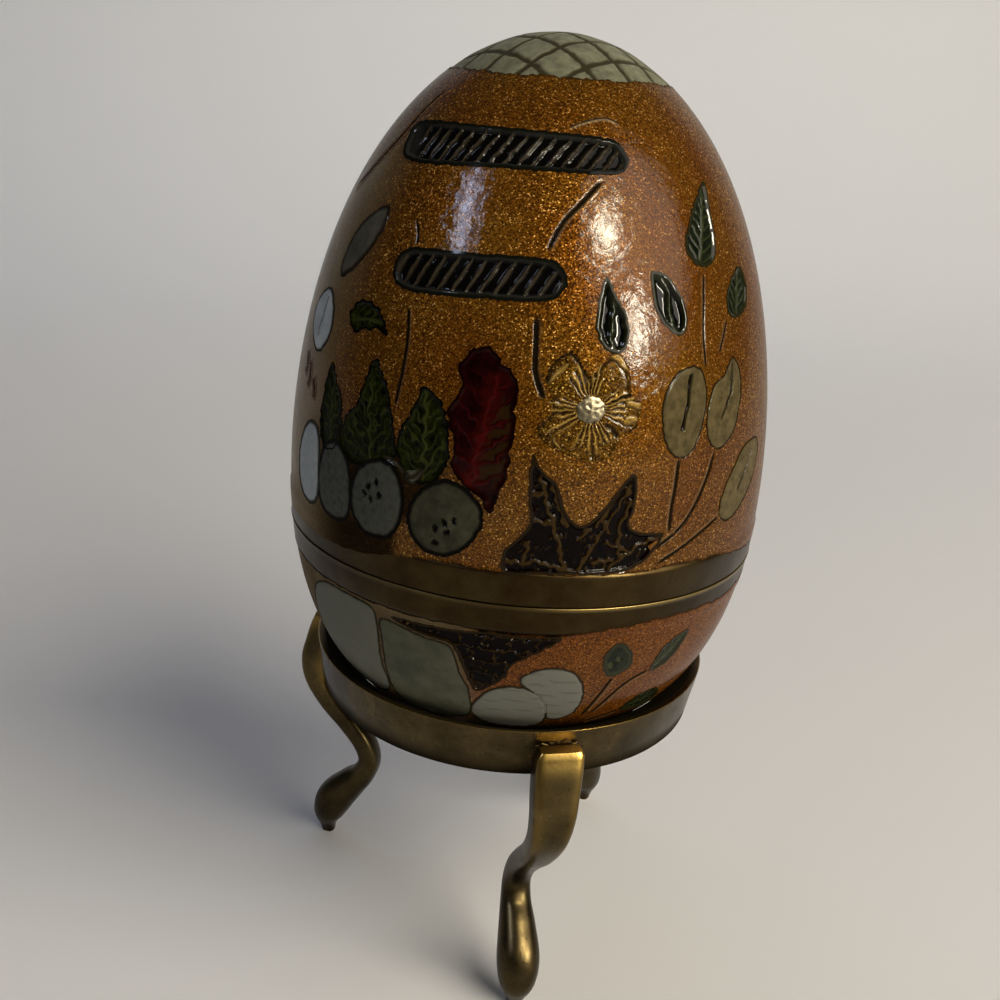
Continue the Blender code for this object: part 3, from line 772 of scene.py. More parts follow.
# %% Flower
FLOWER = [(1.9, 18.0), (4.0, 20.8), (8.0, 21.9), (10.9, 20.1), (12.5, 19.5), (15.3, 21.2),
          (18.4, 21.4), (20.8, 19.4), (21.4, 17.5), (23.6, 16.2), (22.8, 14.2), (19.2, 12.8),
          (17.9, 11.0), (14.7, 10.2), (10.5, 10.4), (6.3, 11.2), (2.8, 12.2), (1.9, 13.8),
          (4.0, 15.4)]
FOLDS = [
    ([(2.8, 18.4), (4.6, 20.0), (7.6, 20.7), (6.8, 19.5), (4.8, 18.4), (3.5, 17.8)], -45),
    ([(3.3, 13.2), (4.4, 13.2), (6.0, 12.3), (8.0, 11.1), (6.4, 11.2), (4.4, 12.0)], 60),
    ([(15.0, 21.0), (18.3, 21.9), (21.3, 19.5), (17.9, 20.0)], 35),
    ([(19.8, 16.9), (23.9, 16.6), (23.2, 15.3), (20.2, 15.4)], 10),
    ([(19.6, 15.2), (23.2, 15.1), (22.8, 13.6), (19.6, 13.4)], -10),
]
CENTRE = (12.5, 15.7)
ring_angle = np.linspace(0, math.tau, 14, endpoint=False)
DOME = [(CENTRE[0] + 2.9 * math.sin(a), CENTRE[1] + 1.45 * math.cos(a)) for a in ring_angle]


def domed(u, v, edge):
    """A low bead: its height follows the square root of the distance from the rim, with dents."""
    return 0.16 * np.sqrt(np.clip(edge, 0, 1.5)) + 0.03 * drift(u, v, 0.5, 21) - 0.1, 0.0, 0.0


for at, grain in ((CENTRE[0], 0.16), (168.0, BACK_GRAIN)):
    shift = at - CENTRE[0]
    press("flower", FLOWER, petalled, middle=CENTRE, to=at, grain=grain, rough=0.07)
    for places, lean in FOLDS:
        moved = [(a + shift, b) for a, b in places]
        press("flower", moved, folded, lean=lean, level=0.02, grain=grain)
    press("silver", [(a + shift, b) for a, b in DOME], domed, level=0.1, grain=grain)

# %% Green and red leaves
GREEN_1 = [(-36.7, 18.0), (-33.2, 16.0), (-30.6, 13.4), (-28.4, 9.8), (-28.0, 7.6), (-32.1, 6.0),
           (-40.4, 5.6), (-44.4, 7.4), (-43.1, 10.6), (-40.0, 12.6), (-38.6, 15.4)]
GREEN_2 = [(-23.4, 16.0), (-19.9, 15.3), (-17.4, 13.9), (-16.2, 11.5), (-16.0, 8.1), (-18.9, 6.0),
           (-24.0, 5.6), (-27.2, 8.0), (-27.7, 10.4), (-25.6, 12.8)]
GREEN_3 = [(-51.2, 15.8), (-48.4, 14.0), (-45.5, 12.4), (-44.6, 9.6), (-45.9, 6.4), (-50.5, 5.9),
           (-53.0, 8.6), (-52.7, 12.8)]
SMALL_LEAF = [(-48.2, 21.9), (-45.2, 23.7), (-40.3, 23.5), (-36.8, 22.4), (-34.6, 20.6),
              (-37.6, 21.2), (-41.0, 20.7), (-45.4, 20.2)]
for places, spacing, rise, lean in ((GREEN_1, 1.7, 1.2, -9), (GREEN_2, 1.6, 1.1, -6),
                                    (GREEN_3, 1.6, 1.2, -6)):
    press("green_leaves", places, veined, 0.2, spacing, rise, lean=lean, rough=0.35, jag=0.16)
press("green_leaves", SMALL_LEAF, veined, 0.2, 1.2, lean=84, rough=0.3, jag=0.14)
for places, spacing, lean, at in ((GREEN_1, 1.7, -9, 197.5), (GREEN_2, 1.6, -6, 185.0)):
    press("green_leaves", places, veined, 0.25, spacing, to=at, lean=lean, grain=BACK_GRAIN)

RED_LEAF = [(-10.6, 21.4), (-8.2, 21.0), (-6.8, 19.8), (-4.4, 19.2), (-2.9, 17.6), (-3.0, 15.3),
            (-2.6, 12.9), (-3.3, 10.5), (-3.4, 8.0), (-4.7, 5.7), (-6.2, 3.7), (-8.4, 5.0),
            (-11.0, 6.0), (-15.0, 8.1), (-14.8, 10.6), (-16.5, 12.8), (-17.2, 14.4), (-15.4, 15.9),
            (-14.6, 17.2), (-15.8, 18.6), (-13.9, 20.7)]


def oxblood(u, v, edge):
    """Veins rise from a bowed rib, and the right side has duller green brown fields."""
    bow = u - 0.25 * np.sin(v * 0.25)
    slant = (v - 0.8 * np.abs(bow)) / 2.2
    off = np.abs(slant - np.round(slant)) * 2.2
    vein, rib = fall(off, 0.05, 0.24), fall(np.abs(bow), 0.1, 0.4)
    lines = np.maximum(rib, 0.6 * vein * ease(edge, 0.4, 0.9)) * ease(7 - np.abs(v), 0, 1)
    glow = 0.45 * bell(bow, 0, 0.9) * ease(7.5 - np.abs(v), 0, 2)
    field = ease(bow, 0.5, 0.9) * ease(edge, 0.3, 0.7) * ease(off, 0.3, 0.6)
    field = field * ease(v, -6, -4) * fall(v, 3, 5)
    return -0.14 * ease(edge, 0.1, 0.6) + 0.05 * lines, np.maximum(0.7 * lines, glow), 0.9 * field


press("red_leaf", RED_LEAF, oxblood, middle=(-9.3, 12.4), lean=6, rough=0.3, jag=0.13)

# %% Fruit, bud and pods
# Pits and a cut so far off that they don't show.
NO_PITS, NO_CUT = [(30, 30)], [(30, 30), (31, 30)]
FRUIT_A = [(-31.9, 7.2), (-27.4, 6.4), (-24.9, 3.5), (-25.6, 0.2), (-28.8, -1.9), (-34.9, -2.1),
           (-38.8, -0.1), (-39.5, 2.7), (-37.3, 5.6)]
FRUIT_B = [(-16.3, 6.6), (-11.6, 6.0), (-8.0, 4.2), (-7.5, 2.0), (-10.1, -0.6), (-14.6, -2.3),
           (-20.1, -2.0), (-23.2, -0.2), (-23.8, 2.3), (-21.4, 4.9)]
FRUIT_C = [(-46.0, 7.4), (-41.4, 6.0), (-39.3, 2.7), (-39.6, -0.9), (-44.0, -2.2), (-50.2, -1.2),
           (-52.0, 2.4), (-50.2, 6.0)]
FRUIT_D = [(-56.5, 8.2), (-52.6, 7.0), (-51.2, 2.6), (-51.6, -0.9), (-56.0, -2.2), (-61.6, -0.8),
           (-63.6, 2.8), (-61.2, 6.6)]
PITS_A = [(-1.2, 1.2), (0.0, 1.9), (0.5, 0.6), (-0.7, -0.1), (-1.7, 0.2)]
PITS_B = [(0.1, -0.4), (1.2, -0.1), (-0.9, -1.3), (0.4, -1.5), (-0.9, -2.9)]
for group, places, pits, tint, level in (
    ("fruit", FRUIT_C, NO_PITS, 1.0, -0.02), ("chalk", FRUIT_D, NO_PITS, 1.0, 0.0),
    ("fruit", FRUIT_A, PITS_A, 0.8, 0.02), ("fruit", FRUIT_B, PITS_B, 0.0, 0.02),
):
    press(group, places, pitted, pits, tint, level=level)
for places, pits, tint, at in ((FRUIT_B, PITS_B, 0.0, 188), (FRUIT_A, PITS_A, 0.8, 206)):
    press("fruit", places, pitted, pits, tint, to=at, grain=BACK_GRAIN)

TWIG = [(-30.2, 7.3), (-27.0, 6.7), (-24.6, 5.5), (-22.8, 5.3), (-20.8, 6.9), (-21.3, 7.2),
        (-23.4, 6.0), (-24.6, 6.2), (-27.0, 7.3), (-30.0, 7.7)]
press("pale", TWIG, slit, NO_CUT, level=0.03, jag=0.03)

BUD = [(-66.9, 22.0), (-61.5, 23.7), (-56.2, 22.0), (-55.0, 18.6), (-59.5, 16.0), (-65.2, 17.4),
       (-68.0, 19.8)]
LONG_SHAPE = [(-46.2, 34.6), (-45.2, 31.6), (-49.5, 27.9), (-56.0, 25.4), (-58.6, 27.0),
              (-57.4, 30.4), (-52.6, 33.2)]
press("chalk", BUD, slit, [(0.5, 2.4), (0.1, -1.8)], grain=0.22)
press("haze", LONG_SHAPE, slit, NO_CUT, grain=0.22)

POD_1 = [(37.6, 20.2), (40.4, 19.0), (41.3, 16.2), (39.4, 12.6), (37.0, 10.5), (33.2, 10.1),
         (30.1, 11.8), (28.8, 14.5), (29.4, 17.4), (32.6, 19.5)]
POD_2 = [(51.2, 20.6), (54.1, 18.5), (54.1, 15.6), (51.4, 12.2), (47.6, 10.6), (44.2, 10.5),
         (41.6, 12.3), (41.5, 15.4), (43.6, 17.7), (47.4, 18.8)]
POD_3 = [(64.0, 10.0), (65.4, 8.0), (63.2, 5.2), (57.1, 2.2), (52.4, 1.1), (48.2, 2.0),
         (48.4, 4.7), (52.0, 7.6), (57.4, 9.9)]
PODS = [(POD_1, [(0.7, 4.1), (0.3, 0.9), (-0.4, -1.9)]), (POD_2, [(1.5, 4.5), (1.1, 1.4), (-0.7, -1.3)]),
        (POD_3, [(2.5, 3.2), (0.9, 1.2), (-0.9, -0.9)])]
for places, cut in PODS:
    press("pods", places, slit, cut)
for (places, cut), at in zip(PODS, (148, 136)):
    press("pods", places, slit, cut, to=at, grain=BACK_GRAIN)

# %% Maple leaf
MAPLE = [(1.3, 10.6), (3.5, 8.9), (6.9, 7.3), (8.8, 4.6), (11.8, 3.0), (14.9, 3.6), (17.6, 5.4),
         (22.6, 8.7), (24.0, 7.0), (23.6, 4.5), (22.8, 3.0), (25.5, 1.9), (31.3, 1.5), (29.6, -0.5),
         (26.6, -1.9), (23.1, -2.7), (19.1, -2.9), (13.0, -3.0), (5.1, -3.0), (-2.1, -3.2),
         (-3.0, -0.8), (-0.5, 0.9), (2.0, 3.0), (1.2, 6.3)]
MAPLE_MIDDLE = (12.0, -0.4)
MAPLE_LINES = [
    [(3.4, 8.6), (5.3, 4.7), (7.4, 2.0), (9.9, -2.6)], [(1.6, 6.0), (4.6, 6.3)], [(1.5, 3.4), (6.2, 3.0)],
    [(4.6, 9.0), (7.6, 5.0), (9.6, 3.4)], [(22.8, 7.4), (16.6, 1.8), (12.8, -2.4)],
    [(23.2, 5.8), (20.6, 2.8), (21.4, -0.8)], [(-3.0, -2.0), (3.5, -1.6), (8.1, -2.0), (12.5, -2.9)],
    [(31.0, 1.2), (26.0, 0.4), (22.4, -0.8), (19.0, -2.6)], [(19.4, 6.4), (15.8, 2.8)],
    [(18.6, 0.6), (23.4, -0.2)], [(16.0, -1.6), (20.0, -1.2)], [(1.0, -1.4), (2.2, 0.6)],
    [(12.4, 1.0), (13.8, 2.4)], [(8.2, 4.2), (9.4, 2.6)], [(17.2, 3.4), (18.6, 2.2)],
]
lines = [flat_place(line, MAPLE_MIDDLE) for line in MAPLE_LINES]
press("maple", MAPLE, lined, lines, 0.34, 0.26, middle=MAPLE_MIDDLE, grain=0.17, rough=0.2)

# %% Stems and scored lines
# Each line: its places, its width and depth, and how strong the painted highlight on its raised edge is.
SCORES = [
    ([(0.5, 31.9), (4.0, 35.2), (8.9, 37.6), (14.6, 40.2)], 0.5, 0.3, 0.9),
    ([(-29.7, 12.9), (-29.0, 17.4), (-29.2, 21.0), (-30.6, 24.6)], 0.45, 0.25, 0.5),
    ([(3.0, 16.2), (1.7, 17.5), (0.3, 19.5), (-0.1, 22.7), (-0.5, 25.4)], 0.6, 0.3, 0.3),
    ([(42.6, 30.2), (41.5, 26.9), (40.7, 23.2), (41.1, 19.6)], 0.35, 0.18, 0.5),
    ([(49.6, 24.8), (47.4, 22.6), (45.8, 21.2)], 0.35, 0.18, 0.5),
    ([(33.8, 10.2), (33.3, 6.6), (32.8, 3.8), (33.0, 1.2)], 0.5, 0.22, 0.8),
    ([(44.6, 10.6), (42.2, 7.0), (38.4, 3.4), (34.6, 1.3), (28.8, -0.6)], 0.5, 0.22, 0.9),
    ([(48.4, 2.2), (42.0, 0.6), (35.9, -1.0), (30.4, -2.3)], 0.45, 0.2, 0.8),
    ([(-34.7, 33.5), (-32.9, 32.1), (-32.4, 30.9)], 0.3, 0.12, 0.4),
    ([(-51.5, 50.1), (-55.4, 47.5), (-59.3, 42.6), (-65.8, 38.4), (-72.3, 35.4)], 0.4, 0.16, 0.4),
    ([(3.8, 46.0), (8.8, 46.9), (17.2, 47.7), (23.2, 47.0)], 0.2, 0.06, 2.2),
    ([(-66.5, 15.4), (-65.0, 13.9), (-66.0, 12.6)], 0.35, 0.15, 0.2),
    ([(-63.2, 14.6), (-61.8, 13.0), (-62.4, 11.4)], 0.35, 0.15, 0.2),
    ([(-59.4, 12.9), (-57.8, 11.6), (-58.2, 10.6)], 0.3, 0.15, 0.2),
]
for places, width, depth, bright in SCORES:
    score("scores", places, width, depth, bright)
for places, width, depth, bright in SCORES[5:7]:
    score("scores", places, width, depth, bright, shift=113.0)
print(len(HOLLOWS), "hollows in the lid's ground")
lid_hollows = len(HOLLOWS)

# %% [markdown]
# ## The base's motifs
#
# The base has large quiet shapes, two of them like melons, a patch of small bricks, two white ovals
# and a sprig of slender leaves. Most of it sits in the shade of the egg. The back repeats it.

# %% Melons, bricks, ovals and sprig
MELON_1 = [(-51.0, -11.6), (-37.6, -11.2), (-32.6, -12.0), (-32.0, -15.7), (-32.8, -19.1),
           (-34.2, -25.6), (-48.0, -28.2), (-60.5, -23.0), (-58.5, -15.0)]
MELON_2 = [(-30.4, -12.6), (-19.4, -13.4), (-13.1, -14.0), (-10.8, -17.8), (-8.6, -21.0),
           (-9.5, -26.2), (-22.0, -28.6), (-32.0, -26.4), (-32.2, -20.8), (-31.3, -16.0)]
BRICKS = [(-27.9, -12.0), (-19.3, -11.6), (-13.1, -11.5), (-4.2, -11.1), (3.0, -11.3), (11.4, -11.2),
          (7.7, -13.0), (1.4, -15.4), (0.0, -17.4), (-3.5, -19.3), (-7.4, -20.4), (-10.2, -16.7),
          (-13.0, -13.6), (-19.4, -13.1)]
OVAL_1 = [(-8.0, -23.1), (-3.5, -19.9), (2.7, -18.9), (7.7, -19.9), (11.2, -22.5), (11.6, -26.4),
          (6.5, -28.0), (-3.4, -27.8), (-8.3, -26.0)]
OVAL_2 = [(3.2, -18.0), (6.2, -16.2), (11.4, -15.6), (16.5, -16.7), (19.6, -19.5), (20.1, -22.9),
          (17.7, -25.3), (12.5, -25.6), (8.0, -21.0)]
ROUND = [(22.3, -14.1), (23.6, -12.8), (26.4, -12.5), (29.5, -14.2), (30.1, -16.3), (27.8, -17.3),
         (25.1, -17.6), (22.9, -16.3)]
SPRIG_1 = [(37.0, -17.9), (38.3, -14.8), (42.0, -13.2), (46.1, -12.8), (45.0, -15.2), (41.5, -17.5)]
SPRIG_2 = [(34.6, -25.4), (38.5, -22.8), (45.1, -22.6), (49.2, -25.3), (44.7, -26.7), (38.5, -26.3)]
STEMS = [[(22.0, -25.6), (24.6, -20.7), (26.4, -17.6)], [(24.2, -25.4), (30.1, -19.8), (37.0, -17.6)],
         [(24.6, -27.3), (30.2, -26.4), (34.8, -25.6)]]


def brushed(u, v, edge):
    """Flush white with a dark edge and fine brush strokes along u."""
    stroke = np.sin(5 * v + 0.9 * np.sin(0.8 * u)) * np.sin(0.7 * u + 2 * v)
    return 0.02 - 0.08 * bell(edge, 0.2, 0.15), 0.3 * ease(stroke, 0.4, 1), 1.0


def bricked(u, v, edge):
    """Courses 1.9 mm high of bricks 2.9 mm long, each course shifted by half a brick."""
    course = v / 1.9
    row = np.floor(course)
    joint = np.minimum(course - row, 1 - course + row) * 1.9
    along = u / 2.9 + 0.5 * (row % 2)
    end = np.abs(along - np.round(along)) * 2.9
    line = np.maximum(fall(joint, 0.05, 0.22), fall(end, 0.05, 0.22))
    bed = ease(edge, 0.15, 0.45)
    return -0.2 * bed * (1 - 0.9 * line), 0.65 * line * bed, 0.0


def press_base(side, grain):
    """Press all cells of the base, turned round the egg by side."""

    def cell(group, places, *relief, **options):
        press(group, [(a + side, b) for a, b in places], *relief, grain=grain, **options)

    cell("base_pale", MELON_1, slit, NO_CUT, 0.7)
    cell("base_pale", MELON_2, slit, NO_CUT)
    cell("base_bricks", BRICKS, bricked, middle=(-5.5 + side, -13.6), rough=0.4)
    cell("base_pale", OVAL_2, brushed)
    cell("base_pale", OVAL_1, brushed, level=0.03)
    cell("base_leaves", ROUND, pitted, [(0.2, 0.3), (-0.7, -0.5)], 0.0, 0.5)
    cell("base_leaves", SPRIG_1, veined, 0.2, 1.3, lean=42)
    cell("base_leaves", SPRIG_2, veined, 0.2, 1.3, lean=80)
    for places in STEMS:
        score("base_scores", places, 0.5, 0.16, 0.8, shift=side)


press_base(0, 0.22)
press_base(180, 0.36)
print(len(HOLLOWS) - lid_hollows, "hollows in the base's ground")

# %% [markdown]
# ## The ground
#
# The ground is one thin layer all round the egg, from the cap to the band and from the band down into
# the ring. Its edges wander by a few tenths of a millimetre and are chipped along the band, where the
# lacquer has flaked off the brass. Under each cell it is sunk, so that the cell's plug shows instead.
# Its columns are close together at the front and further apart at the back.


# %% The lacquer layer
# Lifts of the ground under a cell, of its hidden back and of its part on the band.
SUNK, BACK_LIFT, ON_BAND = -0.78, -1.0, 0.03
# The least radius at any hollow, and the arcs of the cap's edge and of the ground's low edge.
LEAST_RADIUS, CAP_EDGE, BASE_EDGE = 12, 53.0, -36.0


def wander(azimuth, size, seed):
    """Sum of seven sines round the egg with falling size and fixed random phases."""
    random = np.random.default_rng(seed)
    turns = np.array([3, 7, 13, 23, 41, 67, 97])
    phases = random.uniform(0, math.tau, len(turns))
    waves = np.sin(np.radians(azimuth)[:, None] * turns + phases) / np.arange(1, 8) ** 0.5
    return size * waves.sum(axis=1) / 2


def ground_layer(low, high, columns, rows, hollows, shade):
    """A closed layer: up its face from low to high, then down its hidden back. Where it runs over
    the band it lies on the brass. Shade says how dark and how clouded it is at a place."""
    arc = low + np.linspace(0, 1, rows)[:, None] * (high - low)
    azimuth = np.broadcast_to(columns, arc.shape)
    on_band = ease(arc, band_bottom - 0.4, band_bottom) * fall(arc, band_top, band_top + 0.5)
    lift = GROUND + (ON_BAND - GROUND) * on_band
    for (at, level), ring, inset in hollows:
        across = (azimuth - at + 180) % 360 - 180
        reach = np.abs(ring).max(axis=0) + 0.5
        near = (np.abs(across) < np.degrees(reach[0] / LEAST_RADIUS)) & (np.abs(arc - level) < reach[1])
        x = np.radians(across[near]) * np.interp(arc[near], ARCS, RADII)
        y = arc[near] - level
        sunk = within(x, y, ring) & (near_line(x, y, ring) > inset)
        lift[near] = np.where(sunk, SUNK, lift[near])
    back = low + np.linspace(1, 0, 8)[:, None] * (high - low)
    points = np.concatenate([lay(azimuth, arc, lift), lay(columns, back, BACK_LIFT)])
    brown = 0.8 * fall(np.minimum(arc - low, high - arc), 0.0, 0.3)
    dark, film_and_fill = shade((azimuth + 180) % 360 - 180, arc)
    marks = {key: np.zeros(points.shape[:2]) for key in ("mark", "tone")}
    marks["mark"][:rows] = np.maximum(brown, dark)
    marks["tone"][:rows] = film_and_fill
    return points, True, marks


def lid_shade(azimuth, arc):
    """Grey brown under the fruit at the left, nearly black between fruit and leaves, and a pale
    film over the whole left side, an old bloom together with painted fill light from the left."""
    left = -azimuth
    soil = 0.93 * ease(left, 25, 28) * fall(arc, -1.6, 0.4) * (1 - 0.6 * ease(left, 44, 60))
    thicket = 0.9 * ease(left, 15, 18) * fall(left, 50, 60) * fall(arc, 8, 10.5) * ease(arc, -0.5, 2)
    # Pale film over the left side: an old bloom together with painted fill light from the left.
    film_and_fill = 0.65 * ease(left, 40, 64) * fall(left, 72, 100) * fall(arc, 36, 48)
    film_and_fill = film_and_fill * (0.94 + 0.06 * drift(azimuth, arc, 11.0, 12))
    return np.maximum(soil, thicket) * fall(left, 95, 130), film_and_fill


def base_shade(azimuth, arc):
    """Dark round the melons and the bricks, and painted shade with some dirt low down in the ring.
    A tan film over the left side is wear together with painted fill light from the left."""
    left = -azimuth
    melons = 0.8 * ease(left, 8, 11) * fall(left, 62, 80)
    # Tan film on the left: wear, together with painted fill light on the side away from the key lamp.
    worn = 0.42 * ease(left, 2, 14) * fall(left, 80, 105)
    worn = worn * (0.85 + 0.15 * drift(azimuth, arc, 6.0, 13))
    # Painted shade with some dirt where the ground runs down into the ring.
    return np.maximum(melons, ease(-arc, 25.5, 28.5)), worn


columns = np.concatenate([np.arange(-96, 96, 0.5), np.arange(96, 264, 1.0)])
signed = (columns + 180) % 360 - 180
lid_low_edge = band_top + 0.12 + wander(columns, 0.22, 4)
lid_low_edge -= 2.3 * ease(-signed, 14, 50) * fall(-signed, 70, 100)
lid_low_edge -= 1.6 * ease(signed, 45, 70) * fall(signed, 80, 110)
lid_high_edge = CAP_EDGE + 0.3 + wander(columns, 0.28, 9)
lid_ground = ground_layer(lid_low_edge, lid_high_edge, columns, 150, HOLLOWS[:lid_hollows],
                          lid_shade)
make_piece("lid_ground", [lid_ground], amber)

clay = goldstone("worn goldstone lacquer", "#3C2008", "#5A310A", "#734310", "#9E6C30", 0.3)
base_high = band_bottom - 0.15 + wander(columns, 0.3, 21)
base_high += 1.1 * ease(signed, 6, 30) * fall(signed, 70, 95)
base_low = np.full_like(columns, BASE_EDGE)
base_ground = ground_layer(base_low, base_high, columns, 76, HOLLOWS[lid_hollows:], base_shade)
make_piece("base_ground", [base_ground], clay)

# %% [markdown]
# ## The cap
#
# The top of the egg is one field of grey green enamel, with dark lines that cross it in diamonds like
# quilting. Seen from above the lines are straight, so the pattern is a function of the plan: the
# distance to the nearest of evenly spaced lines, in two directions. The grid runs out from the pole.

# %% Cap with its crossing lines
LINE_PITCH, LINE_WIDTH, LINE_TURN, LINE_SHIFT = 4.35, 0.46, 43.0, 0.7


def crossing_lines(x, y):
    """Turn the plan, divide by the pitch, and take the distance to the nearest whole number."""
    x, y = x + 0.08 * drift(x, y, 3.0, 1), y + 0.08 * drift(x, y, 3.0, 2)
    turn = math.radians(LINE_TURN)
    across = (x * math.cos(turn) + y * math.sin(turn) - LINE_SHIFT) / LINE_PITCH - 0.5
    along = (y * math.cos(turn) - x * math.sin(turn) - LINE_SHIFT) / LINE_PITCH - 0.5
    first = np.abs(across - np.round(across)) * LINE_PITCH
    second = np.abs(along - np.round(along)) * LINE_PITCH
    return np.minimum(first, second)


around = np.linspace(0, 360, 380, endpoint=False)
cap_low = CAP_EDGE + np.interp(around, columns % 360, wander(columns, 0.28, 9), period=360)
over, under = np.linspace(0, 1, 84), np.linspace(1, 0, 7)
share = np.concatenate([over, under])[:, None]
arc = ARCS[-1] - 0.02 - share * (ARCS[-1] - 0.02 - cap_low)
radius = np.interp(arc, ARCS, RADII)
plan_x, plan_y = radius * np.sin(np.radians(around)), -radius * np.cos(np.radians(around))
off = crossing_lines(plan_x, plan_y) + 0.06 * drift(plan_x, plan_y, 1.5, 5)
line = fall(off, LINE_WIDTH * 0.45, LINE_WIDTH)
edge = np.broadcast_to((1 - share) * (ARCS[-1] - cap_low), arc.shape)
lift = -0.2 - 0.14 * line + 0.12 * fall(edge, 0, 0.3) - 0.03 * np.sin(plan_x) * np.sin(plan_y)
lift = np.where(np.arange(len(share))[:, None] < len(over), lift, PLUG)
marks = {"edge": edge, "mark": line, "tone": np.zeros_like(line)}
CELLS["cap"] = [(lay(around[None, :], arc, lift), False, marks)]
print("cap edge at a radius of", round(float(radius[len(over) - 1].mean()), 1), "mm")

# %% Put every group of cells into one piece
FINISHES["flower"] = goldstone("gold green lacquer", "#261906", "#462D09", "#5E4111", "#C29C50", 0.0,
                               "#A8863F")
FINISHES["scores"], FINISHES["base_scores"] = amber, clay
for group, same in (("pale", "pale"), ("bricks", "maple"), ("leaves", "dark_leaves")):
    FINISHES[f"base_{group}"] = FINISHES[same]
for group, grids in CELLS.items():
    make_piece(f"cells_{group}", grids, FINISHES[group])

# %% [markdown]
# ## The stand
#
# The ring is turned brass with a seat that flares away from the egg. Each leg is a flat strap at the
# ring that bends out over a knee, narrows to a round ankle and swells into a pad foot, one smooth S.
# It is a rounded rectangle carried along a path, and the roundness of the section changes on the way
# down. The legs are brazed on, so a little solder fills the gap behind each strap.

# %% Ring
RING_TOP, RING_BOTTOM, RING_WALL, RING_EDGE = 40.7, 33.9, 1.2, 0.25
RING_TOP_RADIUS, RING_BOTTOM_RADIUS = 26.8, 25.6
SEAT_DEPTH, SEAT_GAP, SEAT_FLARE = 1.1, 0.4, 0.45
SEAT_PLAY, RIM_FALL = -0.16, 0.6
LOOP_START = 37.0


def ring_radius(height):
    """Outer radius of the ring: straight from its bottom edge to its top edge."""
    share = (height - RING_BOTTOM) / (RING_TOP - RING_BOTTOM)
    return RING_BOTTOM_RADIUS + share * (RING_TOP_RADIUS - RING_BOTTOM_RADIUS)


seat_low = RING_TOP - SEAT_DEPTH - 1.0
ring_loop = [
    (ring_radius(LOOP_START), LOOP_START), (RING_TOP_RADIUS, RING_TOP),
    (outline(arc_at_height(RING_TOP))[0] + SEAT_GAP + SEAT_FLARE, RING_TOP - RIM_FALL),
    (outline(arc_at_height(seat_low))[0] + SEAT_PLAY, seat_low),
    (RING_BOTTOM_RADIUS - RING_WALL, RING_BOTTOM), (RING_BOTTOM_RADIUS, RING_BOTTOM),
    (ring_radius(LOOP_START), LOOP_START),
]
ring_profile = rounded(ring_loop, RING_EDGE)[:-1]
ring_points = spin(ring_profile)
ring_height = ring_profile[:, 1]
wear = bell(ring_height, RING_TOP, 0.12) + 0.3 * bell(ring_height, RING_BOTTOM, 0.2)
wear = np.repeat(np.clip(wear, 0, 1)[:, None], len(TURNS), axis=1)
# Painted shade with some tarnish: the inside of the ring below its top edge is darkened and dulled where
# the egg shades it.
grime = ease(RING_TOP - ring_height, 0.25, 0.6) * (ring_profile[:, 0] < ring_radius(36) + 0.1)
grime = np.repeat(0.9 * grime[:, None], len(TURNS), axis=1)
make_piece("ring", [(ring_points, True, {"wear": wear, "grime": grime})], stand_brass,
           ["stand_ring"])

# %% Legs
# Azimuth of each leg, and how far its foot lies to one side, in mm.
LEGS = {"front": (15.5, -2.3), "left": (-104.5, 0.0), "back": (146.0, 0.0)}
LEG_COLUMNS = 44
# Each station of a leg: distance out, height, half thickness, half width, and squareness.
STATIONS = [
    (27.80, 38.8, 1.00, 2.90, 6.0), (28.00, 36.4, 1.65, 3.00, 6.0), (28.70, 33.6, 1.80, 2.95, 5.0),
    (29.50, 30.4, 1.75, 2.75, 4.5), (29.00, 27.0, 1.70, 2.45, 4.0), (26.75, 23.4, 1.65, 2.10, 3.6),
    (23.80, 20.3, 1.60, 1.90, 3.2), (21.30, 17.3, 1.60, 1.85, 2.8), (20.30, 14.4, 1.60, 1.85, 2.6),
    (21.30, 11.6, 1.85, 2.05, 2.4), (23.30, 9.3, 2.40, 2.45, 2.2), (25.70, 6.2, 2.85, 2.80, 2.2),
    (26.70, 3.4, 2.40, 2.40, 2.2), (26.80, 1.2, 1.25, 1.30, 2.4), (26.70, 0.0, 0.95, 1.00, 2.6),
]


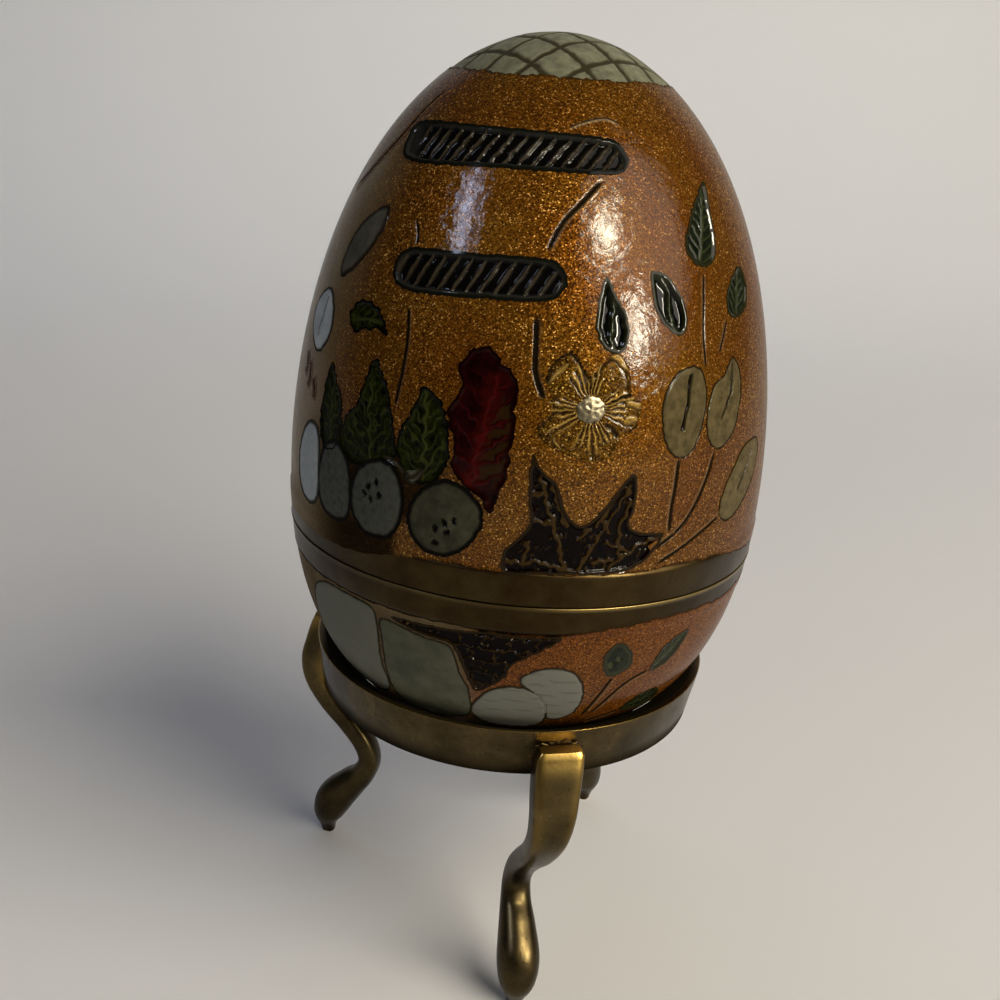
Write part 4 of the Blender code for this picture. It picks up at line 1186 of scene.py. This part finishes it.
def leg_grid(azimuth, lean):
    """Sections |a/wide|^n + |b/thick|^n = 1 along the path; n falls from 6, a box, to 2, a circle."""
    out, height, thick, wide, square = smooth(STATIONS, 0.45, closed=False).T
    height = np.clip(height, 0, None)
    tangent = np.stack([np.gradient(out), np.gradient(height)])
    tangent = tangent / np.hypot(*tangent)
    blend = ease(height, 0.0, 2.0) * ease(height.max() - height, 0.0, 2.0)
    tangent = tangent * blend + np.array([[0.0], [-1.0]]) * (1 - blend)
    around = np.linspace(0, math.tau, LEG_COLUMNS, endpoint=False) + math.pi / LEG_COLUMNS
    power = 2 / square[:, None]
    near_end = np.clip((height.max() - height) / 0.3, 0, 1)
    round_off = (0.9 + 0.1 * np.sqrt(1 - (1 - near_end) ** 2))[:, None]
    side = wide[:, None] * round_off * np.sign(np.cos(around)) * np.abs(np.cos(around)) ** power
    depth = thick[:, None] * round_off * np.sign(np.sin(around)) * np.abs(np.sin(around)) ** power
    x = side + lean * (1 - height / height.max())[:, None] ** 0.75
    reach = out[:, None] - depth * tangent[1][:, None]
    z = height[:, None] + depth * tangent[0][:, None]
    turn = math.radians(azimuth)
    points = np.stack([x * math.cos(turn) + reach * math.sin(turn),
                       x * math.sin(turn) - reach * math.cos(turn), z], axis=-1) * MM
    corner = np.abs(np.sin(2 * around))[None, :] ** 2 * ease(height, 18, 28)[:, None]
    top = ease(height, 34.5, 38.6)[:, None] * (np.sin(around) > 0)[None, :]
    wear = np.clip(0.3 * corner + 0.45 * top, 0, 1)
    grime = 0.34 * fall(height, 20, 30)[:, None] * np.ones_like(x)
    return points, False, {"wear": wear, "grime": grime}


for name, (azimuth, lean) in LEGS.items():
    make_piece(f"leg_{name}", [leg_grid(azimuth, lean)], stand_brass,
               [f"stand_leg_{name}"])

# %% Solder behind the straps
# Half width, half height, level and thickness of a bead.
BEAD_WIDE, BEAD_HIGH, BEAD_LEVEL, BEAD_THICK = 3.5, 2.75, 36.6, 0.3


def solder_bead(azimuth):
    """A lens on the ring behind a strap: raised in the middle, with a wandering rim."""
    angle = np.linspace(0, 360, 90, endpoint=False)
    rim = 1 + wander(angle, 0.1, 31)
    over, under = np.linspace(0, 1, 18), np.linspace(1, 0, 3)
    share = np.maximum(np.concatenate([over, under])[:, None], 0.01)
    x = BEAD_WIDE * rim * share * np.sin(np.radians(angle))
    z = BEAD_LEVEL + BEAD_HIGH * rim * share * np.cos(np.radians(angle))
    z = np.clip(z, RING_BOTTOM + 0.2, RING_TOP - 0.4)
    height = BEAD_THICK * np.sqrt(np.clip(1 - share**2, 0, 1))
    height = np.where(np.arange(len(share))[:, None] < len(over), height, -0.15)
    out = ring_radius(z) + height
    wear = 0.3 * height * np.ones_like(x)
    return turned(out, azimuth + np.degrees(x / out), z), False, {"wear": wear}


make_piece("solder", [solder_bead(azimuth) for azimuth, lean in LEGS.values()], solder)

# %% [markdown]
# ## Floor, light and camera
#
# The object stands on a plain pale floor that sweeps up behind it. One large soft lamp is high at
# the right and in front, and throws the shadows back to the left. Weak blue lamps at the left and
# overhead stand for daylight in the shade, and one more lights the backdrop. Three small windows
# make the bright patches on the lacquer. A highlight shows where the lamp stands in the mirror
# direction of the camera, so each window's place follows from the place of its patch on the egg.

# %% Camera
CAMERA_PLACE = Vector((0.0, -148.482, 113.654)) * MM
CAMERA_AIM = Vector((-2.957, 0.0, 60.172)) * MM
CAMERA_ROLL = math.radians(4.822)

forward = (CAMERA_AIM - CAMERA_PLACE).normalized()
side = forward.cross(Vector((0, 0, 1))).normalized()
up = side.cross(forward)
right = side * math.cos(CAMERA_ROLL) + up * math.sin(CAMERA_ROLL)
up = up * math.cos(CAMERA_ROLL) - side * math.sin(CAMERA_ROLL)
camera_data = bpy.data.cameras.new("camera")
camera_data.lens, camera_data.sensor_width = 41.833, 36.0
camera_data.clip_start = 0.01
camera = bpy.data.objects.new("camera", camera_data)
turn = Matrix((right, up, -forward)).transposed().to_4x4()
camera.matrix_world = Matrix.Translation(CAMERA_PLACE) @ turn
bpy.context.collection.objects.link(camera)
bpy.context.scene.camera = camera
print("camera at", tuple(round(v, 4) for v in CAMERA_PLACE))

# %% Floor
FRONT, BACK, SWEEP, HIGH, HALF_WIDTH = -700, 420, 260, 900, 900
bend = np.linspace(0, math.pi / 2, 24)
sweep_y = np.concatenate([[FRONT], BACK + SWEEP * np.sin(bend), [BACK + SWEEP]])
sweep_z = np.concatenate([[0], SWEEP - SWEEP * np.cos(bend), [HIGH]])
wide = np.linspace(-HALF_WIDTH, HALF_WIDTH, 5)
grid = np.broadcast_arrays(wide[None, :], sweep_y[:, None], sweep_z[:, None])
floor_points = np.stack(grid, axis=-1) * MM
quads = grid_quads(np.arange(floor_points.size // 3).reshape(floor_points.shape[:2]))
floor_mesh = bpy.data.meshes.new("floor")
floor_mesh.from_pydata(floor_points.reshape(-1, 3), [], quads.tolist())
floor_mesh.shade_smooth()
floor = bpy.data.objects.new("floor", floor_mesh)
bpy.context.collection.objects.link(floor)
paper, tree, shader, place = new_finish("pale backdrop paper", Roughness=0.9)
shader.inputs["Base Color"].default_value = srgb("#EDECE8")
floor_mesh.materials.append(paper)
print("floor quads:", len(quads))


# %% Lamps
def mirror_spot(azimuth, arc, distance):
    """Where a lamp shows at a place on the egg: reflect the way to the camera in the normal."""
    spot = Vector(lay(azimuth, arc, 0.0).tolist())
    normal = (Vector(lay(azimuth, arc, 1.0).tolist()) - spot).normalized()
    view = (CAMERA_PLACE - spot).normalized()
    return spot + (2 * normal.dot(view) * normal - view) * distance, spot


def lamp(name, place, aim, width, height, power, colour, roll=0.0, unseen=None):
    """An area lamp that faces its aim, rolled by some degrees about the way it faces. Unseen names
    the kind of ray that passes it by."""
    data = bpy.data.lights.new(name, "AREA")
    data.shape, data.size, data.size_y = "RECTANGLE", width, height
    data.energy, data.color = power, srgb(colour)[:3]
    light = bpy.data.objects.new(name, data)
    light.location = place
    facing = (aim - place).to_track_quat("-Z", "Y")
    light.rotation_euler = (facing @ Quaternion((0, 0, 1), math.radians(roll))).to_euler()
    bpy.context.collection.objects.link(light)
    if unseen:
        setattr(light, f"visible_{unseen}", False)
    print(name, tuple(round(v, 3) for v in place))
    return light


CORE = Vector((0, 0, 0.06))
lamp("soft lamp", Vector((0.5, -0.34, 0.5)), CORE, 0.72, 0.72, 5.9, "#FFF6E8").data.shape = "ELLIPSE"
lamp("left fill", Vector((-0.6, -0.3, 0.4)), CORE, 0.6, 0.6, 0.2, "#A8C0F0", unseen="glossy")
lamp("overhead fill", Vector((-0.3, 0.5, 0.95)), Vector((0, 0.15, 0)), 0.8, 0.8, 0.95, "#86A9F5",
     unseen="glossy")
wash = lamp("backdrop lamp", Vector((0, 0.3, 0.85)), Vector((0, 0.68, 0.3)), 1.2, 0.3, 0.8, "#FFFFFF",
            unseen="glossy")
wash.data.spread = math.radians(90)
WINDOW_DISTANCE = 0.6
for name, azimuth, arc, width, height, power, colour, roll in (
    ("upper window", 15.0, 34.5, 0.085, 0.115, 3.6, "#FFF6DA", 0.0),
    ("lower window", 22.5, 24.5, 0.07, 0.12, 3.5, "#FFF8E0", 0.0),
    ("cool window", -21.5, 35.5, 0.045, 0.24, 1.85, "#D6E0FF", 27.0),
):
    place, aim = mirror_spot(azimuth, arc, WINDOW_DISTANCE)
    lamp(name, place, aim, width, height, power, colour, roll, unseen="diffuse")

world = bpy.data.worlds.new("studio")
world.use_nodes = True
tree = world.node_tree
seen = add(tree, "LightPath").outputs["Is Camera Ray"]
sky = tree.nodes["Background"]
sky.inputs["Color"].default_value = srgb("#DADCE0")
add(tree, "MapRange", {"Value": seen, "To Min": 0.05, "To Max": 0.66}, into=sky.inputs["Strength"])
bpy.context.scene.world = world
bpy.context.scene.view_settings.view_transform = "Standard"
